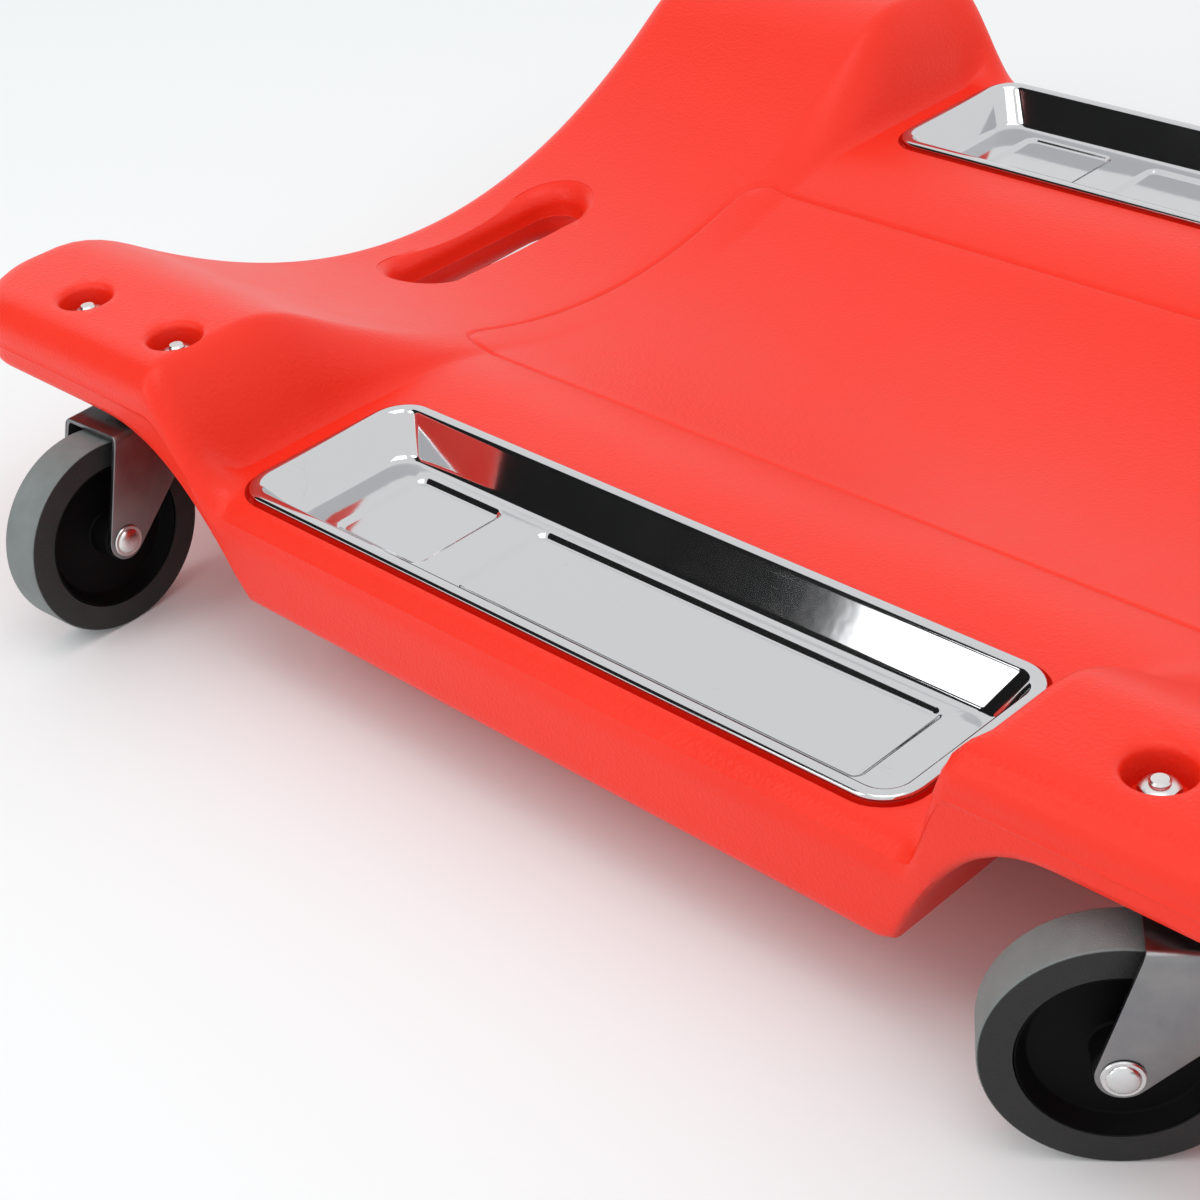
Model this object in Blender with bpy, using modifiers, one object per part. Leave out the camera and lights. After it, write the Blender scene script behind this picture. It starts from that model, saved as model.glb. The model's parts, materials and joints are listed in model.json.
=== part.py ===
"""Mechanic creeper: a blow-moulded deck on six swivel casters, with two tool trays and a headrest.

Metres, +Z up. The origin is on the floor below the middle of the deck. +X points to the head end,
and the left side, as someone lies on the deck, is at -Y.
"""
import math

import bmesh
import bpy
from mathutils import Matrix, Vector

# Fits between neighbouring pieces
FIT_GAP = 0.0003
SWIVEL_CLEARANCE = 0.0008
TRAY_CLEARANCE = 0.001

# Caster wheel and fork
WHEEL_RADIUS = 0.0375
TYRE_THICKNESS = 0.0095
TYRE_WIDTH = 0.017
TYRE_CHAMFER = 0.0012
HUB_WEB = 0.006
HUB_RIM = 0.003
HUB_BOSS_RADIUS = 0.008
AXLE_RADIUS = 0.003
AXLE_HEAD_RADIUS = 0.006
AXLE_HEAD_HEIGHT = 0.0024
CASTER_TRAIL = 0.032
FORK_SHEET = 0.002
FORK_WIDTH = 0.030
FORK_FRONT = 0.027
FORK_BACK = 0.015
FORK_HEEL = 0.006
FORK_BEND = 0.0018
LEG_TIP_RADIUS = 0.0085
CROWN_GAP = 0.0015

# Swivel and mounting plate
RACE_HEIGHT = 0.0045
RACE_RADIUS = 0.0135
RACE_CHAMFER = 0.002
PIN_RADIUS = 0.004
PIN_HEAD_RADIUS = 0.008
PIN_HEAD_HEIGHT = 0.003
PLATE_THICKNESS = 0.0025
PLATE_WIDTH = 0.038
PLATE_CORNER = 0.008
BOLT_SPACING = 0.056
BOLT_EDGE = 0.009

# Caster bolts, with the nut and washer on the boss
BOLT_RADIUS = 0.003
BOLT_HEAD_RADIUS = 0.0055
BOLT_HEAD_HEIGHT = 0.003
BOLT_END = 0.0015
NUT_FLATS = 0.010
NUT_HEIGHT = 0.005
WASHER_RADIUS = 0.007
WASHER_THICKNESS = 0.0012
RECESS_RADIUS = 0.0098
RECESS_DEPTH = 0.0115
RECESS_LIP = 0.002

# Deck outline and edges
DECK_LENGTH = 1.02
DECK_WIDTH = 0.4625
CORNER_RADIUS = 0.036
EDGE_RADIUS = 0.012
UNDER_RADIUS = 0.004

# Deck heights
BOSS_THICKNESS = 0.0262
BOSS_RISE = 0.043
RAIL_THICKNESS = 0.0371
PANEL_DROP = 0.0066
TROUGH_DEPTH = 0.0133
BELLY_DEPTH = 0.0055

# Deck cross-section
PANEL_HALF_WIDTH = 0.0866
RAIL_MARGIN = 0.0142
END_BOSS_TOP_INSET = 0.062
END_BOSS_ROUNDING = 0.012
MID_BOSS_TOP_INSET = 0.0413
MID_BOSS_SLOPE = 0.085

# Caster places and the bosses and wells round them
CASTER_END_INSET = 0.085
CASTER_SIDE_INSET = 0.0262
END_PLATEAU = 0.040
END_SHOULDER_RUN = 0.026
END_SHOULDER_FLARE = 0.008
FLARE_WIDTH = 0.024
MID_PLATEAU = 0.072
MID_SHOULDER_RUN = 0.021
WELL_CLEARANCE = 0.0105
MID_WELL_CLEARANCE = 0.0285
CEILING_MARGIN = 0.003
CEILING_INNER_MARGIN = 0.018
SIDE_ARCH_CLEARANCE = 0.0115
SIDE_ARCH_RUN = 0.073
SKIRT_WIDTH = 0.006
SKIRT_LIP = 0.0018
WELL_POWER = 1.5
ARCH_POWER = 2.5

# Handle slot at the foot end
SLOT_END_INSET = 0.046
SLOT_LENGTH = 0.102
SLOT_WIDTH = 0.030
SLOT_LIP = 0.008

# Tool trays
TRAY_LENGTH = 0.300
TRAY_WIDTH = 0.080
TRAY_CORNER = 0.014
TRAY_RIM = 0.005
TRAY_WALL_RUN = 0.008
TRAY_DEPTH = 0.018
TRAY_SHEET = 0.0008
TRAY_LIP = 0.0012
TRAY_FLOOR_FILLET = 0.002
TRAY_PANEL_MARGIN = 0.007
TRAY_PANEL_SLOPE = 0.0025
TRAY_PANEL_DEPTH = 0.0018
TRAY_SMALL_PANEL = 0.075
TRAY_SIDE_INSET = 0.011
TRAY_OVER_WELL = 0.010
TRAY_TO_MID_WELL = 0.006
REBATE_SKIN = 0.0001
REBATE_HEIGHT = 0.030

# Headrest
PLATFORM_RISE = 0.010
PLATFORM_MARGIN = 0.004
PLATFORM_BLEND = 0.030
PAD_END_INSET = 0.074
PAD_WIDTH = 0.236
PAD_DEPTH = 0.112
PAD_THICKNESS = 0.033
PAD_CORNER = 0.036
PAD_CROWN = 0.009
PAD_WAIST = 0.004
BOARD_THICKNESS = 0.006
BOARD_INSET = 0.013
SCREW_END_INSET = 0.035
SCREW_RADIUS = 0.0022
SCREW_HEAD_RADIUS = 0.005
SCREW_HEAD_HEIGHT = 0.003
SCREW_SEAT = 0.012
SCREW_WELL_RADIUS = 0.0075
SCREW_TIP_GAP = 0.001

# Facet counts and modelling tolerances
FILLET_STEPS = 3
ARC_STEPS = 3
SHOULDER_STEPS = 4
TYRE_FACETS = 24
TURNED_FACETS = 12
RECESS_FACETS = 10
SMALL_FACETS = 8
PANEL_STEPS = 4
HEAD_TAPER = 0.7
LEAST_SPACING = 0.004
WELD = 0.00001
FLAT_ANGLE = 0.1
SMOOTH_ANGLE = 35

# Heights worked out from the caster upwards
crown_bottom = 2 * WHEEL_RADIUS + CROWN_GAP
crown_top = crown_bottom + FORK_SHEET
race_bottom = crown_top + FIT_GAP
plate_bottom = race_bottom + RACE_HEIGHT
plate_top = plate_bottom + PLATE_THICKNESS
boss_bottom = plate_top + FIT_GAP
boss_top = boss_bottom + BOSS_THICKNESS
rail_top = boss_top - BOSS_RISE
panel_edge = rail_top - PANEL_DROP
deck_bottom = rail_top - RAIL_THICKNESS
recess_floor = boss_top - RECESS_DEPTH
platform_top = panel_edge + PLATFORM_RISE

# Places worked out from the outline
half_length = DECK_LENGTH / 2
half_width = DECK_WIDTH / 2
end_caster_x = half_length - CASTER_END_INSET
caster_y = half_width - CASTER_SIDE_INSET
plate_length = BOLT_SPACING + 2 * BOLT_EDGE
wheel_sweep = CASTER_TRAIL + WHEEL_RADIUS
well_reach = wheel_sweep + WELL_CLEARANCE
mid_reach = wheel_sweep + MID_WELL_CLEARANCE
side_reach = wheel_sweep + SIDE_ARCH_CLEARANCE
side_ceiling = side_reach - SIDE_ARCH_RUN
ceiling_reach = plate_length / 2 + CEILING_MARGIN
ceiling_inner = PLATE_WIDTH / 2 + CEILING_INNER_MARGIN
tray_x = well_reach - TRAY_OVER_WELL + TRAY_LENGTH / 2 - end_caster_x
tray_y = half_width - TRAY_SIDE_INSET - TRAY_WIDTH / 2
mid_caster_x = tray_x + TRAY_LENGTH / 2 + TRAY_TO_MID_WELL + mid_reach
rail_inner = tray_y - TRAY_WIDTH / 2 - RAIL_MARGIN
end_boss_top = half_width - END_BOSS_TOP_INSET
mid_boss_top = half_width - MID_BOSS_TOP_INSET
slot_x = SLOT_END_INSET - half_length
pad_x = half_length - PAD_END_INSET
board_depth = PAD_DEPTH - 2 * BOARD_INSET
board_width = PAD_WIDTH - 2 * BOARD_INSET
platform_start = pad_x - board_depth / 2 - PLATFORM_MARGIN - PLATFORM_BLEND
platform_half = board_width / 2 + PLATFORM_MARGIN
screw_y = board_width / 2 - SCREW_END_INSET

# From a turned or extruded shape's Z axis to the axle's, across the fork
ACROSS = Matrix.Rotation(math.pi / 2, 4, "X")

# Casters: name, place and the way the wheel trails at rest, in degrees
CASTERS = (
    ("foot_left", -end_caster_x, -caster_y, -87),
    ("foot_right", -end_caster_x, caster_y, 87),
    ("mid_left", mid_caster_x, -caster_y, -141),
    ("mid_right", mid_caster_x, caster_y, 128),
    ("head_left", end_caster_x, -caster_y, -112),
    ("head_right", end_caster_x, caster_y, 104),
)


def clamp(value):
    return min(max(value, 0.0), 1.0)


def ease(value):
    """Smooth step from 0 to 1."""
    step = clamp(value)
    return step * step * (3 - 2 * step)


def edge_distance(x, y):
    """Distance in from the deck's rounded outline."""
    over_x = abs(x) - (half_length - CORNER_RADIUS)
    over_y = abs(y) - (half_width - CORNER_RADIUS)
    corner = math.hypot(max(over_x, 0), max(over_y, 0)) + min(max(over_x, over_y), 0)
    return max(CORNER_RADIUS - corner, 0.0)


def fillet_drop(distance, radius):
    """How far a rounded edge has fallen at a distance in from its side."""
    inside = max(radius - distance, 0.0)
    return radius - math.sqrt(max(radius * radius - inside * inside, 0.0))


def cross_section(side):
    """Top of the deck between the bosses: a trough for the back, rising to a flat rail."""
    if side <= PANEL_HALF_WIDTH:
        return panel_edge - TROUGH_DEPTH * (1 - (side / PANEL_HALF_WIDTH) ** 2)
    run = rail_inner - PANEL_HALF_WIDTH
    step = clamp((side - PANEL_HALF_WIDTH) / run)
    slope = 2 * TROUGH_DEPTH / PANEL_HALF_WIDTH * run
    return panel_edge + slope * step * (1 - step) ** 2 + PANEL_DROP * ease(step)


def end_boss_height(side):
    """Top of an end boss: a plateau that falls away in one wide curve to the middle of the trough."""
    lowest = cross_section(0)
    curve = lowest + (boss_top - lowest) * (side / end_boss_top) ** 2
    near = max(END_BOSS_ROUNDING - abs(curve - boss_top), 0.0) / END_BOSS_ROUNDING
    return min(curve, boss_top) - END_BOSS_ROUNDING * near ** 2 / 4


def boss_rise(x, side):
    """How far the caster bosses rise above the cross-section at a point."""
    between = cross_section(side)
    run = END_SHOULDER_RUN + END_SHOULDER_FLARE * ease((side - half_width + FLARE_WIDTH) / FLARE_WIDTH)
    end = 1 - ease((end_caster_x - END_PLATEAU - abs(x)) / run)
    mid = 1 - ease((abs(x - mid_caster_x) - MID_PLATEAU) / MID_SHOULDER_RUN)
    mid *= 1 - ease((mid_boss_top - side) / MID_BOSS_SLOPE)
    return max(end * (end_boss_height(side) - between), mid * (boss_top - between))


def top_height(x, y):
    """Top surface of the deck, without its rounded edge."""
    side = abs(y)
    height = cross_section(side) + boss_rise(x, side)
    platform = ease((x - platform_start) / PLATFORM_BLEND)
    platform *= 1 - ease((side - platform_half) / PLATFORM_BLEND)
    return height + (platform_top - height) * platform


def well_share(away, ceiling, reach, inward, power):
    """How far the roof of a well has come down, from 0 at its ceiling to 1 at the deck's underside."""
    along = max(away - ceiling, 0.0) / (reach - ceiling)
    across = max(inward - ceiling_inner, 0.0) / (well_reach - ceiling_inner)
    return clamp((along ** 4 + across ** 4) ** 0.25) ** power


def bottom_height(x, y):
    """Underside of the deck, with its wheel wells, without its rounded edge."""
    side = abs(y)
    under = deck_bottom - BELLY_DEPTH * max(1 - (side / PANEL_HALF_WIDTH) ** 2, 0.0)
    inward = max(caster_y - side, 0.0)
    away = max(end_caster_x - abs(x), 0.0)
    skirt = clamp((side - half_width + SKIRT_WIDTH) / (SKIRT_WIDTH - SKIRT_LIP))
    inner = well_share(away, ceiling_reach, well_reach, inward, WELL_POWER)
    outer = well_share(away, side_ceiling, side_reach, inward, ARCH_POWER)
    end_share = inner + (outer - inner) * skirt
    mid_share = well_share(abs(x - mid_caster_x), ceiling_reach, mid_reach, inward, ARCH_POWER)
    return boss_bottom - (boss_bottom - under) * min(end_share, mid_share)


def steps_between(first, last, count):
    return [first + (last - first) * index / count for index in range(count + 1)]


def thinned(values, least):
    """Sorted values with those closer than the least spacing left out."""
    kept = []
    for value in sorted(values):
        if not kept or value - kept[-1] > least:
            kept.append(value)
    return kept


def edge_stations(half):
    """Grid lines from one edge in to the end of the rounded corner."""
    angles = steps_between(0, math.pi / 2, FILLET_STEPS)
    fillet = [EDGE_RADIUS * (1 - math.cos(angle)) for angle in angles]
    corner = [(EDGE_RADIUS + CORNER_RADIUS) / 2, CORNER_RADIUS]
    return [half - inset for inset in fillet + corner]


def length_stations():
    shoulder = steps_between(END_PLATEAU, END_PLATEAU + END_SHOULDER_RUN, SHOULDER_STEPS)
    arch = steps_between(side_ceiling, side_reach, SHOULDER_STEPS)
    ends = edge_stations(half_length)
    ends += [end_caster_x - away for away in shoulder + arch + [well_reach]]
    lines = [sign * value for value in ends for sign in (-1, 1)]
    mid = steps_between(MID_PLATEAU, MID_PLATEAU + MID_SHOULDER_RUN, SHOULDER_STEPS)
    mid += [ceiling_reach, mid_reach]
    lines += [mid_caster_x + sign * value for value in mid for sign in (-1, 1)]
    lines.append(tray_x)
    lines += steps_between(platform_start, platform_start + PLATFORM_BLEND, FILLET_STEPS)
    outer = [value for value in lines if abs(value) >= half_length - CORNER_RADIUS]
    inner = [value for value in lines if abs(value) < half_length - CORNER_RADIUS]
    return sorted(outer + thinned(inner, LEAST_SPACING))


def width_stations():
    edges = edge_stations(half_width)
    inner = steps_between(end_boss_top + END_BOSS_ROUNDING, end_boss_top - END_BOSS_ROUNDING, SHOULDER_STEPS)
    inner += steps_between(platform_half, platform_half + PLATFORM_BLEND, FILLET_STEPS)
    inner += [half_width - FLARE_WIDTH]
    inner += steps_between(PANEL_HALF_WIDTH, 0, PANEL_STEPS)
    inner += [mid_boss_top, caster_y - well_reach]
    lines = thinned([value for value in inner if value < edges[-1]], LEAST_SPACING) + edges
    return sorted({sign * value for value in lines for sign in (-1, 1)})


def round_corner(x, y):
    """Draw a grid point in so that the square corner follows the outline's arc."""
    out_x = max(abs(x) - (half_length - CORNER_RADIUS), 0) / CORNER_RADIUS
    out_y = max(abs(y) - (half_width - CORNER_RADIUS), 0) / CORNER_RADIUS
    moved_x = abs(x) + CORNER_RADIUS * out_x * (math.sqrt(1 - out_y ** 2 / 2) - 1)
    moved_y = abs(y) + CORNER_RADIUS * out_y * (math.sqrt(1 - out_x ** 2 / 2) - 1)
    return math.copysign(moved_x, x), math.copysign(moved_y, y)


def new_object(name, mesh, collection):
    obj = bpy.data.objects.new(name, mesh)
    collection.objects.link(obj)
    return obj


def mesh_from(bm, name, smooth_angle=SMOOTH_ANGLE):
    """Finish a bmesh as a mesh that is smooth except at its hard edges."""
    bmesh.ops.recalc_face_normals(bm, faces=bm.faces[:])
    mesh = bpy.data.meshes.new(name)
    bm.to_mesh(mesh)
    bm.free()
    mesh.shade_smooth()
    mesh.set_sharp_from_angle(angle=math.radians(smooth_angle))
    return mesh


def applied(obj):
    """The object's evaluated mesh, with the object itself removed."""
    graph = bpy.context.evaluated_depsgraph_get()
    mesh = bpy.data.meshes.new_from_object(obj.evaluated_get(graph))
    mesh.name = obj.name
    bpy.data.objects.remove(obj)
    return mesh


def turned(name, profile, facets):
    """A turned mesh about Z. A profile that starts and ends on the axis is solid, any other is a ring."""
    bm = bmesh.new()
    points = [bm.verts.new((radius, 0, height)) for radius, height in profile]
    for first, second in zip(points, points[1:]):
        bm.edges.new((first, second))
    if profile[0][0] > 0:
        bm.edges.new((points[-1], points[0]))
    mesh = bpy.data.meshes.new(name)
    bm.to_mesh(mesh)
    bm.free()
    obj = new_object(name, mesh, cutters)
    screw = obj.modifiers.new("turn", "SCREW")
    screw.steps = facets
    screw.render_steps = facets
    screw.use_merge_vertices = True
    screw.merge_threshold = WELD
    mesh = applied(obj)
    bm = bmesh.new()
    bm.from_mesh(mesh)
    bpy.data.meshes.remove(mesh)
    bmesh.ops.remove_doubles(bm, verts=bm.verts[:], dist=WELD)
    return mesh_from(bm, name)


def lofted(name, rings, closed=True):
    """Skin a stack of rings that have equally many points, with flat ends if closed."""
    bm = bmesh.new()
    loops = [[bm.verts.new(point) for point in ring] for ring in rings]
    for lower, upper in zip(loops, loops[1:]):
        for index in range(len(lower)):
            following = (index + 1) % len(lower)
            bm.faces.new((lower[index], lower[following], upper[following], upper[index]))
    bm.faces.new(loops[-1])
    if closed:
        bm.faces.new(loops[0][::-1])
    return bm


def arc_points(centre_x, centre_y, radius, start, end, steps):
    angles = steps_between(math.radians(start), math.radians(end), steps)
    return [(centre_x + radius * math.cos(a), centre_y + radius * math.sin(a)) for a in angles]


def rounded_outline(length, width, radius, steps=ARC_STEPS):
    """Rounded rectangle about the origin, counter-clockwise."""
    inner_x = length / 2 - radius
    inner_y = width / 2 - radius
    points = []
    for quarter, (sign_x, sign_y) in enumerate(((1, 1), (-1, 1), (-1, -1), (1, -1))):
        start = 90 * quarter
        points += arc_points(sign_x * inner_x, sign_y * inner_y, radius, start, start + 90, steps)
    return points


def flat_solid(name, outlines, low, high):
    """A flat plate between two heights. Outlines after the first are holes."""
    curve = bpy.data.curves.new(name, "CURVE")
    curve.dimensions = "2D"
    curve.fill_mode = "BOTH"
    curve.extrude = (high - low) / 2
    for outline in outlines:
        spline = curve.splines.new("POLY")
        spline.points.add(len(outline) - 1)
        for point, (x, y) in zip(spline.points, outline):
            point.co = (x, y, 0, 1)
        spline.use_cyclic_u = True
    mesh = applied(new_object(name, curve, cutters))
    bpy.data.curves.remove(curve)
    bm = bmesh.new()
    bm.from_mesh(mesh)
    bpy.data.meshes.remove(mesh)
    bmesh.ops.remove_doubles(bm, verts=bm.verts[:], dist=WELD)
    bmesh.ops.translate(bm, vec=(0, 0, (low + high) / 2), verts=bm.verts[:])
    return mesh_from(bm, name)


def combine(name, base, changes):
    """Cut or join meshes with exact Booleans and return the finished mesh."""
    obj = new_object(name, base, cutters)
    helpers = []
    for operation, mesh in changes:
        helper = new_object(name + "_tool", mesh, cutters)
        helpers.append(helper)
        boolean = obj.modifiers.new(operation, "BOOLEAN")
        boolean.operation = operation
        boolean.object = helper
    mesh = applied(obj)
    for helper in helpers:
        bpy.data.objects.remove(helper)
    mesh.shade_smooth()
    mesh.set_sharp_from_angle(angle=math.radians(SMOOTH_ANGLE))
    return mesh


def box_mesh(name, low, high):
    bm = bmesh.new()
    bmesh.ops.create_cube(bm, size=1)
    size = Vector(high) - Vector(low)
    bmesh.ops.scale(bm, vec=size, verts=bm.verts[:])
    bmesh.ops.translate(bm, vec=Vector(low) + size / 2, verts=bm.verts[:])
    return mesh_from(bm, name)


def moved(mesh, matrix):
    """A copy of a mesh moved by a matrix."""
    copy = mesh.copy()
    copy.transform(matrix)
    return copy


def joined(name, meshes):
    """Several separate meshes in one, for a cutter."""
    bm = bmesh.new()
    for mesh in meshes:
        bm.from_mesh(mesh)
    return mesh_from(bm, name)


def material(name, colour, roughness, metallic):
    finish = bpy.data.materials.new(name)
    finish.use_nodes = True
    shader = finish.node_tree.nodes["Principled BSDF"]
    shader.inputs["Base Color"].default_value = (*colour, 1)
    shader.inputs["Roughness"].default_value = roughness
    shader.inputs["Metallic"].default_value = metallic
    return finish


def place(name, mesh, finish, parent=None):
    """Put a finished piece in the assembly."""
    obj = new_object(name, mesh, assembly)
    if not mesh.materials:
        mesh.materials.append(finish)
    obj.parent = parent
    return obj


def deck_blank():
    """The deck as moulded, before its recesses, slot and pockets."""
    lines_x = length_stations()
    lines_y = width_stations()
    cells_x = len(lines_x) - 1
    cells_y = len(lines_y) - 1
    bm = bmesh.new()
    bmesh.ops.create_grid(bm, x_segments=cells_x, y_segments=cells_y, size=1)
    for vert in bm.verts:
        column = round((vert.co.x + 1) / 2 * cells_x)
        row = round((vert.co.y + 1) / 2 * cells_y)
        x, y = round_corner(lines_x[column], lines_y[row])
        vert.co = (x, y, top_height(x, y) - fillet_drop(edge_distance(x, y), EDGE_RADIUS))
    lower = bmesh.ops.extrude_face_region(bm, geom=bm.faces[:])["geom"]
    for vert in lower:
        if isinstance(vert, bmesh.types.BMVert):
            x, y = vert.co.xy
            vert.co.z = bottom_height(x, y) + fillet_drop(edge_distance(x, y), UNDER_RADIUS)
    bmesh.ops.dissolve_limit(bm, angle_limit=math.radians(FLAT_ANGLE), verts=bm.verts[:], edges=bm.edges[:])
    bmesh.ops.triangulate(bm, faces=bm.faces[:])
    return mesh_from(bm, "deck")


def recess_cutter():
    """Bolt recess with a rounded lip, and the bolt hole below it."""
    above = boss_top + RECESS_LIP
    hole = BOLT_RADIUS + FIT_GAP
    below = boss_bottom - RECESS_LIP
    profile = [(0, above), (RECESS_RADIUS + 2 * RECESS_LIP, above), (RECESS_RADIUS, boss_top - RECESS_LIP)]
    profile += [(RECESS_RADIUS, recess_floor), (hole, recess_floor), (hole, below), (0, below)]
    return turned("recess_cutter", profile, RECESS_FACETS)


def stadium(length, width, steps=6):
    radius = width / 2
    straight = length / 2 - radius
    return arc_points(0, straight, radius, 0, 180, steps) + arc_points(0, -straight, radius, 180, 360, steps)


def slot_cutter():
    """Handle slot whose lips are rounded over along the dished deck."""
    angles = steps_between(0, math.pi / 2, FILLET_STEPS)
    rings = []

    def ring(grow, surface, offset):
        points = stadium(SLOT_LENGTH + 2 * grow, SLOT_WIDTH + 2 * grow)
        rings.append([(slot_x + x, y, surface(slot_x + x, y) + offset) for x, y in points])

    ring(SLOT_LIP, bottom_height, -SLOT_LIP)
    for angle in angles:
        ring(SLOT_LIP * (1 - math.sin(angle)), bottom_height, SLOT_LIP * (1 - math.cos(angle)))
    for angle in reversed(angles):
        ring(SLOT_LIP * (1 - math.sin(angle)), top_height, -SLOT_LIP * (1 - math.cos(angle)))
    ring(SLOT_LIP, top_height, SLOT_LIP)
    return mesh_from(lofted("slot_cutter", rings), "slot_cutter")


def tray_ring(inset, height):
    """Ring of the tray's outline drawn in by an inset."""
    radius = max(TRAY_CORNER - inset, TRAY_FLOOR_FILLET)
    outline = rounded_outline(TRAY_LENGTH - 2 * inset, TRAY_WIDTH - 2 * inset, radius)
    return [(x, y, height) for x, y in outline]


def tray_mesh():
    """Pressed tray: turned-down lip, flat rim, sloping walls and a floor with two sunk panels."""
    rim = FIT_GAP + TRAY_LIP + TRAY_SHEET
    floor = rim - TRAY_DEPTH
    wall_foot = TRAY_RIM + TRAY_WALL_RUN
    rings = [
        tray_ring(0, FIT_GAP),
        tray_ring(0, rim - TRAY_SHEET / 2),
        tray_ring(TRAY_SHEET / 2, rim),
        tray_ring(TRAY_RIM, rim),
        tray_ring(wall_foot, floor + TRAY_FLOOR_FILLET),
        tray_ring(wall_foot + TRAY_FLOOR_FILLET, floor),
    ]
    bm = lofted("tray", rings, closed=False)
    split = -TRAY_LENGTH / 2 + wall_foot + TRAY_FLOOR_FILLET + TRAY_SMALL_PANEL
    bm.faces.ensure_lookup_table()
    base = bm.faces[-1]
    cut = [base] + list(base.edges) + list(base.verts)
    bmesh.ops.bisect_plane(bm, geom=cut, plane_co=(split, 0, 0), plane_no=(1, 0, 0))
    panels = [face for face in bm.faces if all(abs(vert.co.z - floor) < WELD for vert in face.verts)]
    bmesh.ops.inset_individual(bm, faces=panels, thickness=TRAY_PANEL_MARGIN, depth=0)
    bmesh.ops.inset_individual(bm, faces=panels, thickness=TRAY_PANEL_SLOPE, depth=-TRAY_PANEL_DEPTH)
    mesh = bpy.data.meshes.new("tray")
    bmesh.ops.recalc_face_normals(bm, faces=bm.faces[:])
    if panels[0].normal.z < 0:
        bmesh.ops.reverse_faces(bm, faces=bm.faces[:])
    bm.to_mesh(mesh)
    bm.free()
    mesh.shade_smooth()
    mesh.set_sharp_from_angle(angle=math.radians(SMOOTH_ANGLE))
    return mesh


def pocket_cutter():
    """Pocket that the tray's pan hangs in, with a shallow rebate for its rim."""
    wall_foot = TRAY_RIM + TRAY_WALL_RUN
    depth = TRAY_DEPTH + TRAY_PANEL_DEPTH + TRAY_SHEET + TRAY_CLEARANCE
    opening = TRAY_RIM - TRAY_SHEET - TRAY_CLEARANCE
    rings = [
        tray_ring(wall_foot - TRAY_SHEET - TRAY_CLEARANCE, -depth),
        tray_ring(opening, REBATE_SKIN),
        tray_ring(-TRAY_CLEARANCE, REBATE_SKIN),
        tray_ring(-TRAY_CLEARANCE, REBATE_HEIGHT),
    ]
    return mesh_from(lofted("pocket_cutter", rings), "pocket_cutter")


def screw_cutter():
    """Headrest screw hole, with a wide well from below."""
    seat = platform_top - SCREW_SEAT
    hole = SCREW_RADIUS + FIT_GAP
    below = deck_bottom - BELLY_DEPTH - UNDER_RADIUS
    above = platform_top + UNDER_RADIUS
    profile = [(0, above), (hole, above), (hole, seat), (SCREW_WELL_RADIUS, seat)]
    profile += [(SCREW_WELL_RADIUS, below), (0, below)]
    return turned("screw_cutter", profile, SMALL_FACETS)


def bolt_places():
    """Bolt centres, two for each caster along the deck."""
    places = []
    for name, x, y, _ in CASTERS:
        places.append(("bolt_toe_" + name, x - BOLT_SPACING / 2, y))
        places.append(("bolt_heel_" + name, x + BOLT_SPACING / 2, y))
    return places


def build_deck():
    deck = place("deck", deck_blank(), red_plastic)
    recess = recess_cutter()
    recesses = joined("recesses", [
        moved(recess, Matrix.Translation((x, y, 0))) for _, x, y in bolt_places()])
    pocket = pocket_cutter()
    pockets = joined("pockets", [
        moved(pocket, Matrix.Translation((tray_x, side * tray_y, rail_top))) for side in (-1, 1)])
    screw = screw_cutter()
    screws = joined("screw_wells", [
        moved(screw, Matrix.Translation((pad_x, side * screw_y, 0))) for side in (-1, 1)])
    for mesh in (recesses, pockets, slot_cutter(), screws):
        tool = new_object(mesh.name, mesh, cutters)
        tool.hide_render = True
        tool.display_type = "WIRE"
        boolean = deck.modifiers.new(mesh.name, "BOOLEAN")
        boolean.operation = "DIFFERENCE"
        boolean.object = tool


def build_trays():
    mesh = tray_mesh()
    for side, name in ((-1, "tray_left"), (1, "tray_right")):
        tray = place(name, mesh, stainless)
        tray.location = (tray_x, side * tray_y, rail_top)
        sheet = tray.modifiers.new("sheet", "SOLIDIFY")
        sheet.thickness = TRAY_SHEET
        sheet.offset = -1


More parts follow.
